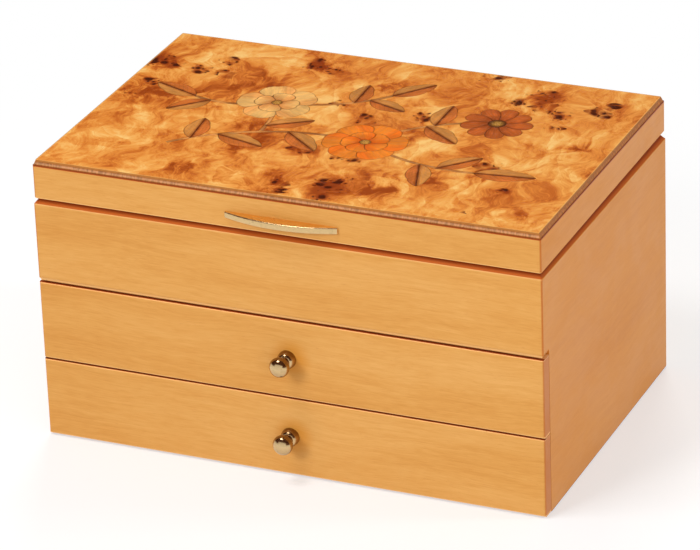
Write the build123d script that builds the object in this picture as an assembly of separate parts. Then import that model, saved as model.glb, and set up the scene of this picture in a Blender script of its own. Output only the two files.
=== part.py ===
from build123d import *
import math
import os

os.makedirs("parts", exist_ok=True)

# All sizes are in millimetres and all angles in degrees.
# X runs to the right, Y to the back and Z up. The origin is under the middle of the box.

# Case
WIDTH = 292.0
DEPTH = 190.5
BOARD = 9.0
CASE_LIFT = 0.4
FELT = 1.0
FELT_MARGIN = 1.0
BASE = 4.0
BASE_RABBET = 4.0
EDGE_ROUND = 0.9
TIER_HEIGHT = 48.2
TIER_GAP = 0.8
TIER_LIP_IN = 1.2
TIER_LIP_TALL = 2.4
CASE_BEVEL_IN = 2.0
CASE_BEVEL_TALL = 2.6
TRAY_FLOOR = 4.0
TRAY_FLOOR_RISE = 3.0
TRAY_GROOVE = 3.0
GLUE = 0.1

# Drawers
FRONT = 8.0
FRONT_HEIGHT = 45.8
FRONT_ROUND = 1.1
FRONT_LIFT = 0.6
FRONT_GAP = 0.6
LAP_GAP = 0.5
DRAWER_SIDE = 8.0
DRAWER_BACK = 7.0
DRAWER_BACK_INSET = 4.0
DRAWER_PLAY = 0.5
DRAWER_BELOW = 1.0
DRAWER_ABOVE = 5.0
DRAWER_BEHIND = 2.0
FRONT_DADO = 3.0
BACK_DADO = 2.5
BOTTOM = 3.0
BOTTOM_RISE = 2.5
BOTTOM_GROOVE = 2.5
LINING = 1.5
LINING_GAP = 0.3
RUNNER_HEIGHT = 6.0
RUNNER_DADO = 2.0
RUNNER_GROOVE = 3.5
RUNNER_PLAY = 0.3
RUNNER_SETBACK = 6.0
DIVIDER = 4.0
DIVIDER_SLOT = 1.5
DIVIDER_DROP = 6.0

# Top tray
WALL_LINING = 1.5
WALL_DROP = 3.0
TRAY_DIVIDER_DROP = 5.0
RING_SHARE = 0.34
SHORT_SHARE = 0.5
ROLLS = 11
ROLL_GAP = 0.6
ROLL_HEIGHT = 27.0

# Lid
LID_HEIGHT = 22.2
LID_GAP = 0.6
LID_INSET = 0.5
LID_RAIL = 9.0
LID_BEVEL_IN = 1.7
LID_BEVEL_TALL = 1.8
TOP_PANEL = 2.0
VENEER = 0.7
TOP_STEP = 0.3
TOP_BEVEL = 1.0
MIRROR = 2.0
MIRROR_MARGIN = 15.0
MIRROR_GAP = 0.2
SURROUND = 3.0

# Hinges
HINGE_SHARE = 0.64
HINGE_LENGTH = 30.0
KNUCKLES = 3
KNUCKLE = 1.9
KNUCKLE_GAP = 0.15
KNUCKLE_ROOM = 0.35
PIN = 0.8
PIN_PLAY = 0.05
LEAF = 1.0
LEAF_WIDTH = 5.6
HINGE_SCREW_SPREAD = 20.0
HINGE_SCREW = 0.8
HINGE_SCREW_HEAD = 1.4
HINGE_SCREW_SINK = 0.6
HINGE_SCREW_LENGTH = 8.0
SCREW_PLAY = 0.05

# Knobs, with radii and distances out from the drawer front
KNOB_FLANGE = 5.3
KNOB_FLANGE_OUT = 0.8
KNOB_BELL = 4.95
KNOB_BELL_OUT = 3.0
KNOB_NECK = 3.4
KNOB_NECK_IN = 5.2
KNOB_NECK_OUT = 6.2
KNOB_HEAD = 5.7
KNOB_HEAD_OUT = 10.8
KNOB_FACE = 4.3
KNOB_DOME = 0.9
KNOB_SCREW = 1.5
KNOB_SCREW_IN = 7.0
KNOB_SCREW_HEAD = 3.2
KNOB_SCREW_HEAD_TALL = 1.8
KNOB_SCREW_ROOM = 0.3

# Lid pull
PULL_CHORD = 64.6
PULL_BOW = 7.0
PULL_END = 1.2
PULL_TALL = 3.8
PULL_PLATE = 1.3
PULL_RIM = 1.8
PULL_TOP = 9.4
PULL_EDGE = 0.35
PULL_BOSS = 6.0
PULL_SCREW_SHARE = 0.62
PULL_SCREW = 1.0
PULL_SCREW_IN = 2.8
PULL_SCREW_HEAD = 1.9
PULL_SCREW_HEAD_TALL = 1.2

# Inlay: places are shares of the lid's half width and half depth
GLUE_LINE = 0.22
ROSE = 23.0
ROSE_AT = (0.10, -0.16)
ROSE_PETALS = (6, 5)
ROSE_TURN = 12.0
WILD_ROSE = 22.0
WILD_ROSE_AT = (-0.36, 0.20)
WILD_ROSE_PETALS = (5, 4)
WILD_ROSE_TURN = 40.0
DAISY = 20.0
DAISY_AT = (0.50, 0.32)
DAISY_PETALS = 9
DAISY_TURN = 5.0
STEM_WIDTH = 2.0
LEAF_LOBES = 3
LEAF_LOBE_BOW = 0.10
LEAF_BELLY = 0.85
# Each stem runs from one place to another with a bow to one side, and carries leaves.
# A leaf has its share along the stem, its turn from the stem, its length and its half breadth.
STEMS = (
    (
        ((-0.60, -0.52), ROSE_AT, 14.0),
        ((0.12, 56.0, 27.0, 6.6), (0.26, -48.0, 30.0, 7.0), (0.60, -52.0, 30.0, 7.0)),
    ),
    (
        ((-0.31, -0.23), WILD_ROSE_AT, -2.0),
        ((0.24, -62.0, 27.0, 6.4),),
    ),
    (
        (ROSE_AT, DAISY_AT, 9.0),
        ((0.56, 56.0, 28.0, 6.6), (0.50, -74.0, 29.0, 6.8)),
    ),
    (
        (ROSE_AT, (0.58, -0.36), -7.0),
        ((0.58, -60.0, 28.0, 6.6), (0.72, 52.0, 27.0, 6.4), (1.0, 0.0, 34.0, 7.2)),
    ),
    (
        (WILD_ROSE_AT, (-0.68, 0.14), 6.0),
        ((0.78, 54.0, 26.0, 6.4), (1.0, 0.0, 30.0, 6.8)),
    ),
    (
        (WILD_ROSE_AT, (0.03, 0.50), -7.0),
        ((0.66, 58.0, 25.0, 6.2), (0.80, -62.0, 25.0, 6.2), (1.0, 0.0, 28.0, 6.6)),
    ),
)
# Petal shape, in shares of its length and half breadth
PETAL_WAIST = (0.26, 0.66)
PETAL_BROAD = 0.64
PETAL_SHOULDER = (0.93, 0.72)
# Blossom parts, in shares of the blossom's radius
OUTER_BREADTH = 0.46
OUTER_START = 0.20
INNER_LENGTH = 0.56
INNER_BREADTH = 0.30
INNER_START = 0.06
HEART = 0.13
DAISY_BREADTH = 0.25
DAISY_START = 0.12
DAISY_HEART = 0.24

# Heights
half_width = WIDTH / 2
half_depth = DEPTH / 2
inner_x = half_width - BOARD
inner_back = half_depth - BOARD
inner_front = -inner_back
base_top = FELT + BASE
drawer_bottoms = [CASE_LIFT + FRONT_LIFT]
drawer_bottoms.append(drawer_bottoms[0] + FRONT_HEIGHT + FRONT_GAP)
tier_bottom = drawer_bottoms[1] + FRONT_HEIGHT + TIER_GAP
tier_top = tier_bottom + TIER_HEIGHT
tray_floor_bottom = tier_bottom + TRAY_FLOOR_RISE
tray_floor_top = tray_floor_bottom + TRAY_FLOOR
lid_bottom = tier_top + LID_GAP
lid_top = lid_bottom + LID_HEIGHT
rail_top = lid_top - VENEER - TOP_PANEL
veneer_bottom = lid_top - VENEER

# Plan places
front_face = -half_depth
front_rear = front_face + FRONT
lap_line = front_rear + LAP_GAP
lid_x = half_width - LID_INSET
lid_y = half_depth - LID_INSET
lid_inner_x = lid_x - LID_RAIL
lid_inner_y = lid_y - LID_RAIL
hinge_x = half_width * HINGE_SHARE
hinge_y = half_depth - CASE_BEVEL_IN
hinge_z = (tier_top + lid_bottom) / 2

FRONT_SIDE, RIGHT_SIDE, BACK_SIDE, LEFT_SIDE = range(4)
SPARE = 1.0

nodes = {}


def block(x0, x1, y0, y1, z0, z1):
    """A box between two corners."""
    box = Box(x1 - x0, y1 - y0, z1 - z0)
    return Pos((x0 + x1) / 2, (y0 + y1) / 2, (z0 + z1) / 2) * box


def plan_prism(points, z0, z1):
    """An outline in plan, raised between two heights."""
    outline = make_face(Polyline(*points, close=True))
    return Pos(0, 0, z0) * extrude(outline, z1 - z0, dir=(0, 0, 1))


def end_prism(points, x0, x1):
    """An outline of Y and Z places, run along X."""
    outline = Plane.YZ * make_face(Polyline(*points, close=True))
    return Pos(x0, 0, 0) * extrude(outline, x1 - x0, dir=(1, 0, 0))


def front_prism(points, y0, y1):
    """An outline of X and Z places, run along Y."""
    outline = Plane.XZ * make_face(Polyline(*points, close=True))
    return Pos(0, y0, 0) * extrude(outline, y1 - y0, dir=(0, 1, 0))


def rounded_plan(half_x, half_y, z0, z1):
    """A block with rounded upright edges."""
    plan = RectangleRounded(2 * half_x, 2 * half_y, EDGE_ROUND)
    return Pos(0, 0, z0) * extrude(plan, z1 - z0)


def rounded_slope(x0, y0, z0, x1, y1, z1):
    """A block with rounded upright edges whose half sizes change from one height to another."""
    low = Pos(0, 0, z0) * RectangleRounded(2 * x0, 2 * y0, EDGE_ROUND)
    high = Pos(0, 0, z1) * RectangleRounded(2 * x1, 2 * y1, EDGE_ROUND)
    return loft([low.face(), high.face()], ruled=True)


def mitred_board(place, half_x, half_y, thickness, z0, z1):
    """One of the four boards mitred together round a rectangle."""
    outer = [(-half_x, -half_y), (half_x, -half_y), (half_x, half_y), (-half_x, half_y)]
    inner = [(x - math.copysign(thickness, x), y - math.copysign(thickness, y)) for x, y in outer]
    after = (place + 1) % len(outer)
    return plan_prism([outer[place], outer[after], inner[after], inner[place]], z0, z1)


def rod_y(radius, x, z, y0, y1):
    """A round bar along Y."""
    bar = Rot(90, 0, 0) * Cylinder(radius, y1 - y0)
    return Pos(x, (y0 + y1) / 2, z) * bar


def rod_x(radius, x0, x1, y, z):
    """A round bar along X."""
    bar = Rot(0, 90, 0) * Cylinder(radius, x1 - x0)
    return Pos((x0 + x1) / 2, y, z) * bar


def group(solids):
    """Several separate solids as one node."""
    return Compound(children=[solid for part in solids for solid in part.solids()])


# Case shell


def case_envelope():
    """The outside of the case, with rounded upright edges and a bevelled top edge."""
    bevel_start = tier_top - CASE_BEVEL_TALL
    x = half_width - CASE_BEVEL_IN
    y = half_depth - CASE_BEVEL_IN
    straight = rounded_plan(half_width, half_depth, CASE_LIFT, bevel_start)
    return straight + rounded_slope(half_width, half_depth, bevel_start, x, y, tier_top)


def tier_lip_cut():
    """The bevel under the part of the top tier that stands over the drawer fronts."""
    low = tier_bottom - SPARE
    slope = TIER_LIP_IN / TIER_LIP_TALL
    reach = TIER_LIP_IN + slope * SPARE
    high = tier_bottom + TIER_LIP_TALL
    front = [(front_face, high), (front_face + reach, low), (front_face, low)]
    cut = end_prism(front, -half_width, half_width)
    for sign in (-1, 1):
        edge = sign * half_width
        cut += front_prism([(edge, high), (edge - sign * reach, low), (edge, low)], front_face, lap_line)
    return cut


def tray_floor_block(slack):
    """The tray floor as it sits in its groove, smaller by the slack."""
    reach = TRAY_GROOVE - slack
    return block(
        -inner_x - reach,
        inner_x + reach,
        inner_front - reach,
        inner_back + reach,
        tray_floor_bottom,
        tray_floor_top,
    )


def base_block(slack, z0):
    """The base panel as it sits in its rabbet, smaller by the slack."""
    reach = BASE_RABBET - slack
    return block(-inner_x - reach, inner_x + reach, lap_line, inner_back + reach, z0, base_top)


def felt_sheet():
    """The felt under the base panel, on which the box stands."""
    reach = BASE_RABBET - FELT_MARGIN
    x = inner_x + reach
    return block(-x, x, lap_line + FELT_MARGIN, inner_back + reach, 0, FELT)


def runner_bottom(drawer):
    """The height of the underside of a drawer's runners."""
    middle = (box_bottom(drawer) + box_top(drawer)) / 2
    return middle - RUNNER_HEIGHT / 2


def runner_block(sign, drawer, slack):
    """A runner as it sits in its dado, smaller in depth by the slack."""
    proud = DRAWER_PLAY + RUNNER_GROOVE - RUNNER_PLAY
    x_free = inner_x - proud
    x_held = inner_x + RUNNER_DADO - slack
    x0, x1 = sorted((sign * x_free, sign * x_held))
    z0 = runner_bottom(drawer)
    return block(x0, x1, lap_line + RUNNER_SETBACK, inner_back, z0, z0 + RUNNER_HEIGHT)


def side_panel(place, sign):
    """A side of the case: notched for the drawer fronts, grooved for floor, base and runners."""
    tier = mitred_board(place, half_width, half_depth, BOARD, tier_bottom, tier_top)
    lower_plan = [
        (sign * half_width, lap_line),
        (sign * half_width, half_depth),
        (sign * inner_x, inner_back),
        (sign * inner_x, lap_line),
    ]
    panel = (tier + plan_prism(lower_plan, CASE_LIFT, tier_bottom)) & envelope
    panel = panel - lip_cut - tray_floor_block(0) - base_block(0, 0)
    for drawer in range(len(drawer_bottoms)):
        panel -= runner_block(sign, drawer, 0)
    return panel


def case_back():
    """The back of the case, mitred to the sides and let in for the hinges."""
    panel = mitred_board(BACK_SIDE, half_width, half_depth, BOARD, CASE_LIFT, tier_top) & envelope
    panel = panel - tray_floor_block(0) - base_block(0, 0)
    for x in (-hinge_x, hinge_x):
        panel = panel - hinge_room(x, tier_top - LEAF, tier_top + SPARE) - hinge_screw_holes(x, -1)
    return panel


def tier_front():
    """The front of the top tier, which stands over the drawer fronts."""
    panel = mitred_board(FRONT_SIDE, half_width, half_depth, BOARD, tier_bottom, tier_top) & envelope
    return panel - lip_cut - tray_floor_block(0)


# Top tray


def tray_lining_top():
    """The height of the lining on the tray floor."""
    return tray_floor_top + LINING


def tray_floor_lining():
    """The lined card on the tray floor."""
    x = inner_x - LINING_GAP
    y = inner_back - LINING_GAP
    return block(-x, x, -y, y, tray_floor_top, tray_lining_top())


def tray_wall_linings():
    """Four lined cards that stand against the tray walls."""
    x = inner_x - LINING_GAP
    y = inner_back - LINING_GAP
    z0 = tray_lining_top()
    z1 = tier_top - WALL_DROP
    cards = []
    for sign in (-1, 1):
        y0, y1 = sorted((sign * y, sign * (y - WALL_LINING)))
        x0, x1 = sorted((sign * x, sign * (x - WALL_LINING)))
        cards.append(block(-x, x, y0, y1, z0, z1))
        cards.append(block(x0, x1, -y + WALL_LINING, y - WALL_LINING, z0, z1))
    return group(cards)


tray_x = inner_x - LINING_GAP - WALL_LINING
tray_y = inner_back - LINING_GAP - WALL_LINING
ring_x = -tray_x + 2 * tray_x * RING_SHARE
short_x = ring_x + (tray_x - ring_x) * SHORT_SHARE
tray_divider_top = tier_top - TRAY_DIVIDER_DROP


def tray_dividers():
    """The boards that part the tray: one beside the rings, one along the tray, one across its back."""
    z0 = tray_lining_top()
    half = DIVIDER / 2
    nodes["ring_divider"] = block(ring_x - half, ring_x + half, -tray_y, tray_y, z0, tray_divider_top)
    nodes["long_divider"] = block(ring_x + half, tray_x, -half, half, z0, tray_divider_top)
    nodes["short_divider"] = block(short_x - half, short_x + half, half, tray_y, z0, tray_divider_top)


def ring_rolls():
    """A row of padded rolls that grip rings between them."""
    x0 = -tray_x + LINING_GAP
    x1 = ring_x - DIVIDER / 2 - LINING_GAP
    z0 = tray_lining_top()
    pitch = (2 * tray_y - ROLL_GAP) / ROLLS
    radius = (pitch - ROLL_GAP) / 2
    z_round = z0 + ROLL_HEIGHT - radius
    rolls = []
    for count in range(ROLLS):
        y = -tray_y + ROLL_GAP / 2 + pitch * (count + 0.5)
        roll = block(x0, x1, y - radius, y + radius, z0, z_round) + rod_x(radius, x0, x1, y, z_round)
        rolls.append(roll)
    return group(rolls)


# Drawers


def box_bottom(drawer):
    """The height of the underside of a drawer's box."""
    rise = base_top + DRAWER_BELOW - drawer_bottoms[0]
    return drawer_bottoms[drawer] + rise


def box_top(drawer):
    """The height of the top edge of a drawer's box."""
    return drawer_bottoms[drawer] + FRONT_HEIGHT - DRAWER_ABOVE


drawer_x = inner_x - DRAWER_PLAY
drawer_inner_x = drawer_x - DRAWER_SIDE
box_back = inner_back - DRAWER_BEHIND
back_rear = box_back - DRAWER_BACK_INSET
back_front = back_rear - DRAWER_BACK


def bottom_block(drawer, slack):
    """A drawer bottom as it sits in its grooves, smaller by the slack."""
    reach = BOTTOM_GROOVE - slack
    z0 = box_bottom(drawer) + BOTTOM_RISE
    x = drawer_inner_x + reach
    return block(-x, x, front_rear - reach, back_front + reach, z0, z0 + BOTTOM)


def drawer_side_block(sign, drawer, slack):
    """A drawer side before its grooves are cut, short of its dado by the slack."""
    x0, x1 = sorted((sign * drawer_x, sign * drawer_inner_x))
    y0 = front_rear - FRONT_DADO + slack
    return block(x0, x1, y0, box_back, box_bottom(drawer), box_top(drawer))


def drawer_back_block(drawer, slack):
    """A drawer back as it sits in its dadoes, smaller by the slack."""
    x = drawer_inner_x + BACK_DADO - slack
    return block(-x, x, back_front, back_rear, box_bottom(drawer), box_top(drawer))


def drawer_divider_blocks(drawer, slack):
    """Two boards across a drawer, let into its front and back."""
    third = drawer_inner_x / 3
    reach = DIVIDER_SLOT - slack
    z0 = drawer_lining_top(drawer)
    z1 = box_top(drawer) - DIVIDER_DROP
    half = DIVIDER / 2
    return [
        block(sign * third - half, sign * third + half, front_rear - reach, back_front + reach, z0, z1)
        for sign in (-1, 1)
    ]


def drawer_lining_top(drawer):
    """The height of the lining in a drawer."""
    return box_bottom(drawer) + BOTTOM_RISE + BOTTOM + LINING


def knob_height(drawer):
    """The height of a drawer's knob."""
    return drawer_bottoms[drawer] + FRONT_HEIGHT / 2


def drawer_front(drawer):
    """A drawer front with rounded front edges, dadoes, a groove and a knob hole."""
    z0 = drawer_bottoms[drawer]
    front = block(-half_width, half_width, front_face, front_rear, z0, z0 + FRONT_HEIGHT)
    front = fillet(front.faces().sort_by(Axis.Y)[0].edges(), FRONT_ROUND)
    for sign in (-1, 1):
        front -= drawer_side_block(sign, drawer, 0)
    front -= bottom_block(drawer, 0)
    hole = KNOB_SCREW + KNOB_SCREW_ROOM
    return front - rod_y(hole, 0, knob_height(drawer), front_face - SPARE, front_rear + SPARE)


def drawer_side(sign, drawer):
    """A drawer side with its runner groove, bottom groove and back dado."""
    side = drawer_side_block(sign, drawer, GLUE) - bottom_block(drawer, 0) - drawer_back_block(drawer, 0)
    x0, x1 = sorted((sign * (drawer_x - RUNNER_GROOVE), sign * (drawer_x + SPARE)))
    z0 = runner_bottom(drawer) - RUNNER_PLAY
    z1 = runner_bottom(drawer) + RUNNER_HEIGHT + RUNNER_PLAY
    groove_start = lap_line + RUNNER_SETBACK - RUNNER_PLAY
    return side - block(x0, x1, groove_start, box_back + SPARE, z0, z1)


def drawer_lining(drawer):
    """The lined card in a drawer."""
    x = drawer_inner_x - LINING_GAP
    z1 = drawer_lining_top(drawer)
    return block(-x, x, front_rear + LINING_GAP, back_front - LINING_GAP, z1 - LINING, z1)


def knob_profile():
    """Half of a knob's outline: a flange, a bell, a neck and a ball with a domed face."""
    rise = KNOB_HEAD_OUT - KNOB_NECK_OUT
    flare = KNOB_HEAD - KNOB_NECK
    ball = (flare**2 + rise**2) / (2 * flare)
    middle = KNOB_HEAD - ball
    ball_start = math.degrees(math.atan2(-rise, KNOB_NECK - middle))
    ball_end = math.degrees(math.acos((KNOB_FACE - middle) / ball))
    face_out = KNOB_HEAD_OUT + ball * math.sin(math.radians(ball_end))
    dome = (KNOB_FACE**2 + KNOB_DOME**2) / (2 * KNOB_DOME)
    dome_start = math.degrees(math.acos(KNOB_FACE / dome))
    tip = face_out + KNOB_DOME
    flange_end = (KNOB_FLANGE, KNOB_FLANGE_OUT)
    return make_face(
        [
            Line((0, 0), (KNOB_FLANGE, 0)),
            Line((KNOB_FLANGE, 0), flange_end),
            ThreePointArc(flange_end, (KNOB_BELL, KNOB_BELL_OUT), (KNOB_NECK, KNOB_NECK_IN)),
            Line((KNOB_NECK, KNOB_NECK_IN), (KNOB_NECK, KNOB_NECK_OUT)),
            CenterArc((middle, KNOB_HEAD_OUT), ball, ball_start, ball_end - ball_start),
            CenterArc((0, tip - dome), dome, dome_start, 90 - dome_start),
            Line((0, tip), (0, 0)),
        ]
    )


def knob(drawer):
    """A turned knob, drilled for its screw."""
    turned = Pos(0, front_face, knob_height(drawer)) * Rot(180, 0, 0) * revolve(knob_profile(), Axis.Y)
    bore = KNOB_SCREW + SCREW_PLAY
    depth = KNOB_SCREW_IN + SCREW_PLAY
    return turned - rod_y(bore, 0, knob_height(drawer), front_face - depth, front_face + SPARE)


def knob_screw(drawer):
    """The screw that holds a knob from inside its drawer."""
    z = knob_height(drawer)
    shank = rod_y(KNOB_SCREW, 0, z, front_face - KNOB_SCREW_IN, front_rear)
    return shank + rod_y(KNOB_SCREW_HEAD, 0, z, front_rear, front_rear + KNOB_SCREW_HEAD_TALL)


def add_drawer(name, drawer, dividers):
    """All pieces of one drawer."""
    front = drawer_front(drawer)
    back = drawer_back_block(drawer, GLUE) - bottom_block(drawer, 0)
    if dividers:
        for slot in drawer_divider_blocks(drawer, 0):
            front -= slot
            back -= slot
        nodes[name + "_dividers"] = group(drawer_divider_blocks(drawer, GLUE))
    nodes[name + "_front"] = front
    nodes[name + "_left_side"] = drawer_side(-1, drawer)
    nodes[name + "_right_side"] = drawer_side(1, drawer)
    nodes[name + "_back"] = back
    nodes[name + "_bottom"] = bottom_block(drawer, GLUE)
    nodes[name + "_lining"] = drawer_lining(drawer)
    nodes[name + "_knob"] = knob(drawer)
    nodes[name + "_knob_screw"] = knob_screw(drawer)


# Lid


def lid_envelope():
    """The outside of the lid rails, with rounded upright edges and a bevelled bottom edge."""
    bevel_end = lid_bottom + LID_BEVEL_TALL
    x = lid_x - LID_BEVEL_IN
    y = lid_y - LID_BEVEL_IN
    bevel = rounded_slope(x, y, lid_bottom, lid_x, lid_y, bevel_end)
    return bevel + rounded_plan(lid_x, lid_y, bevel_end, rail_top)


def lid_rail(place):
    """One mitred rail of the lid."""
    rail = mitred_board(place, lid_x, lid_y, LID_RAIL, lid_bottom, rail_top) & outside_of_lid
    if place == BACK_SIDE:
        for x in (-hinge_x, hinge_x):
            rail = rail - hinge_room(x, lid_bottom - SPARE, lid_bottom + LEAF) - hinge_screw_holes(x, 1)
    if place == FRONT_SIDE:
        for x in (-pull_screw_x, pull_screw_x):
            rail -= rod_y(PULL_SCREW + SCREW_PLAY, x, pull_middle, -lid_y - SPARE, -lid_inner_y + SPARE)
    return rail


def lid_top_layer(z0, z1):
    """A layer of the lid's top, whose edges follow one bevel."""
    slope = TOP_BEVEL / (lid_top - rail_top)
    low = TOP_STEP + slope * (z0 - rail_top)
    high = TOP_STEP + slope * (z1 - rail_top)
    return rounded_slope(lid_x - low, lid_y - low, z0, lid_x - high, lid_y - high, z1)


def mirror_plate():
    """The mirror under the lid's top."""
    x = lid_inner_x - MIRROR_MARGIN
    y = lid_inner_y - MIRROR_MARGIN
    return block(-x, x, -y, y, rail_top - MIRROR, rail_top)


def mirror_surround():
    """The lined card round the mirror."""
    x = lid_inner_x - LINING_GAP
    y = lid_inner_y - LINING_GAP
    hole_x = lid_inner_x - MIRROR_MARGIN + MIRROR_GAP
    hole_y = lid_inner_y - MIRROR_MARGIN + MIRROR_GAP
    z0 = rail_top - SURROUND
    card = block(-x, x, -y, y, z0, rail_top)
    return card - block(-hole_x, hole_x, -hole_y, hole_y, z0 - SPARE, rail_top + SPARE)


# Lid pull

pull_top = lid_bottom + PULL_TOP
pull_bottom = pull_top - PULL_TALL
pull_middle = (pull_top + pull_bottom) / 2
pull_rise = PULL_BOW - PULL_END
pull_radius = (PULL_CHORD**2 / 4 + pull_rise**2) / (2 * pull_rise)
pull_screw_x = PULL_CHORD / 2 * PULL_SCREW_SHARE


def pull_segment(inset, z0, z1):
    """The bowed plate that stands out from the lid's front, smaller by the inset."""
    centre_y = -lid_y + pull_radius - PULL_BOW
    plate = Pos(0, centre_y) * Circle(pull_radius - inset)
    beyond = Pos(0, -lid_y - PULL_CHORD / 2) * Rectangle(PULL_CHORD - 2 * inset, PULL_CHORD)
    return Pos(0, 0, z0) * extrude(plate & beyond, z1 - z0, dir=(0, 0, 1))


def lid_pull():
    """A bowed lip pull: a plate with a rim below it and two bosses for its screws."""
    pull = pull_segment(0, pull_bottom, pull_top)
    rims = [edge for edge in pull.edges() if edge.geom_type == GeomType.CIRCLE]
    pull = fillet(rims, PULL_EDGE)
    hollow = pull_segment(PULL_RIM, pull_bottom - SPARE, pull_top - PULL_PLATE)
    half = PULL_BOSS / 2
    for x in (-pull_screw_x, pull_screw_x):
        hollow -= block(x - half, x + half, -lid_y - 2 * PULL_BOW, -lid_y, pull_bottom - SPARE, pull_top)
    pull -= hollow
    depth = PULL_SCREW_IN + SCREW_PLAY
    for x in (-pull_screw_x, pull_screw_x):
        pull -= rod_y(PULL_SCREW + SCREW_PLAY, x, pull_middle, -lid_y - depth, -lid_y + SPARE)
    return pull


def pull_screws():
    """The two screws that hold the pull from inside the lid."""
    screws = []
    for x in (-pull_screw_x, pull_screw_x):
        shank = rod_y(PULL_SCREW, x, pull_middle, -lid_y - PULL_SCREW_IN, -lid_inner_y)
        head_end = -lid_inner_y + PULL_SCREW_HEAD_TALL
        screws.append(shank + rod_y(PULL_SCREW_HEAD, x, pull_middle, -lid_inner_y, head_end))
    return group(screws)


# Hinges

knuckle_length = HINGE_LENGTH / KNUCKLES
leaf_reach = hinge_y - LEAF_WIDTH
leaf_stop = hinge_y - KNUCKLE - KNUCKLE_ROOM
screw_y = (leaf_reach + leaf_stop) / 2


def hinge_room(x, z0, z1):
    """The space let into the wood for a hinge: a flat for the leaf and a hollow for the knuckles."""
    half = HINGE_LENGTH / 2
    leaf = block(x - half, x + half, leaf_reach, hinge_y, z0, z1)
    return leaf + rod_x(KNUCKLE + KNUCKLE_ROOM, x - half - GLUE, x + half + GLUE, hinge_y, hinge_z)


def hinge_leaf(x, own, z0):
    """A leaf with the knuckles whose numbers are its own."""
    half = HINGE_LENGTH / 2
    leaf = block(x - half, x + half, leaf_reach, leaf_stop, z0, z0 + LEAF)
    for count in own:
        x0 = x - half + knuckle_length * count + KNUCKLE_GAP
        x1 = x - half + knuckle_length * (count + 1) - KNUCKLE_GAP
        leaf += block(x0, x1, leaf_stop, hinge_y, z0, z0 + LEAF)
        leaf += rod_x(KNUCKLE, x0, x1, hinge_y, hinge_z)
    leaf -= rod_x(PIN + PIN_PLAY, x - half - SPARE, x + half + SPARE, hinge_y, hinge_z)
    up = 1 if z0 > hinge_z else -1
    return leaf - hinge_screw_holes(x, up)


def hinge_screw(x, up, play):
    """A countersunk screw that points up or down from its leaf's face."""
    face = lid_bottom if up > 0 else tier_top
    sink = HINGE_SCREW_SINK + play
    head = Cone(HINGE_SCREW_HEAD + play, HINGE_SCREW + play, sink)
    shank_length = HINGE_SCREW_LENGTH - HINGE_SCREW_SINK + play
    shank = Cylinder(HINGE_SCREW + play, shank_length)
    screw = Pos(0, 0, sink / 2) * head + Pos(0, 0, sink + shank_length / 2) * shank
    turn = 0 if up > 0 else 180
    return Pos(x, screw_y, face) * Rot(turn, 0, 0) * screw


def hinge_screw_places(x):
    """Where the screws of a hinge stand along it."""
    return [x - HINGE_SCREW_SPREAD / 2, x + HINGE_SCREW_SPREAD / 2]


def hinge_screw_holes(x, up):
    """The holes for the screws of one leaf."""
    left, right = hinge_screw_places(x)
    return hinge_screw(left, up, SCREW_PLAY) + hinge_screw(right, up, SCREW_PLAY)


def hinge_screws(up):
    """All screws of the leaves in the lid, or of those in the case."""
    places = [place for x in (-hinge_x, hinge_x) for place in hinge_screw_places(x)]
    return group([hinge_screw(place, up, 0) for place in places])


def add_hinges():
    """Two hinges, each with two leaves and a pin, and the screws of all leaves."""
    case_knuckles = range(0, KNUCKLES, 2)
    lid_knuckles = range(1, KNUCKLES, 2)
    half = HINGE_LENGTH / 2
    for side, x in (("left", -hinge_x), ("right", hinge_x)):
        nodes["hinge_case_leaf_" + side] = hinge_leaf(x, case_knuckles, tier_top - LEAF)
        nodes["hinge_lid_leaf_" + side] = hinge_leaf(x, lid_knuckles, lid_bottom)
        nodes["hinge_pin_" + side] = rod_x(PIN, x - half, x + half, hinge_y, hinge_z)
    nodes["hinge_case_screws"] = hinge_screws(-1)
    nodes["hinge_lid_screws"] = hinge_screws(1)


# Inlay


def lid_place(share_x, share_y):
    """A place on the lid from shares of its half width and half depth."""
    return Vector(share_x * lid_x, share_y * lid_y)


def petal(length, half_breadth, start):
    """A petal along X: narrow at its start, broad beyond the middle, blunt at its end."""
    reach = length - start
    waist = (start + reach * PETAL_WAIST[0], half_breadth * PETAL_WAIST[1])
    broad = (start + reach * PETAL_BROAD, half_breadth)
    shoulder = (length * PETAL_SHOULDER[0], half_breadth * PETAL_SHOULDER[1])
    upper = [ThreePointArc((start, 0), waist, broad), ThreePointArc(broad, shoulder, (length, 0))]
    lower = [edge.mirror(Plane.XZ) for edge in upper]
    return make_face(upper + lower)


def pinwheel(lobes):
    """A ring of petals, each lapped by the next one."""
    lapped = []
    for count, lobe in enumerate(lobes):
        above = lobes[(count + 1) % len(lobes)]
        lapped.append(lobe - offset(above, GLUE_LINE))
    return lapped


def petal_ring(centre, count, length, half_breadth, start, turn):
    """A ring of petals before they are lapped."""
    lobe = petal(length, half_breadth, start)
    step = 360 / count
    return [Pos(centre.X, centre.Y) * Rot(0, 0, turn + step * number) * lobe for number in range(count)]


def joined(faces):
    """Several flat outlines as one."""
    whole = faces[0]
    for face in faces[1:]:
        whole = whole + face
    return whole


def widened(faces):
    """The outline of several pieces, wider by the glue line."""
    return joined([offset(face, GLUE_LINE) for face in faces])


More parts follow.
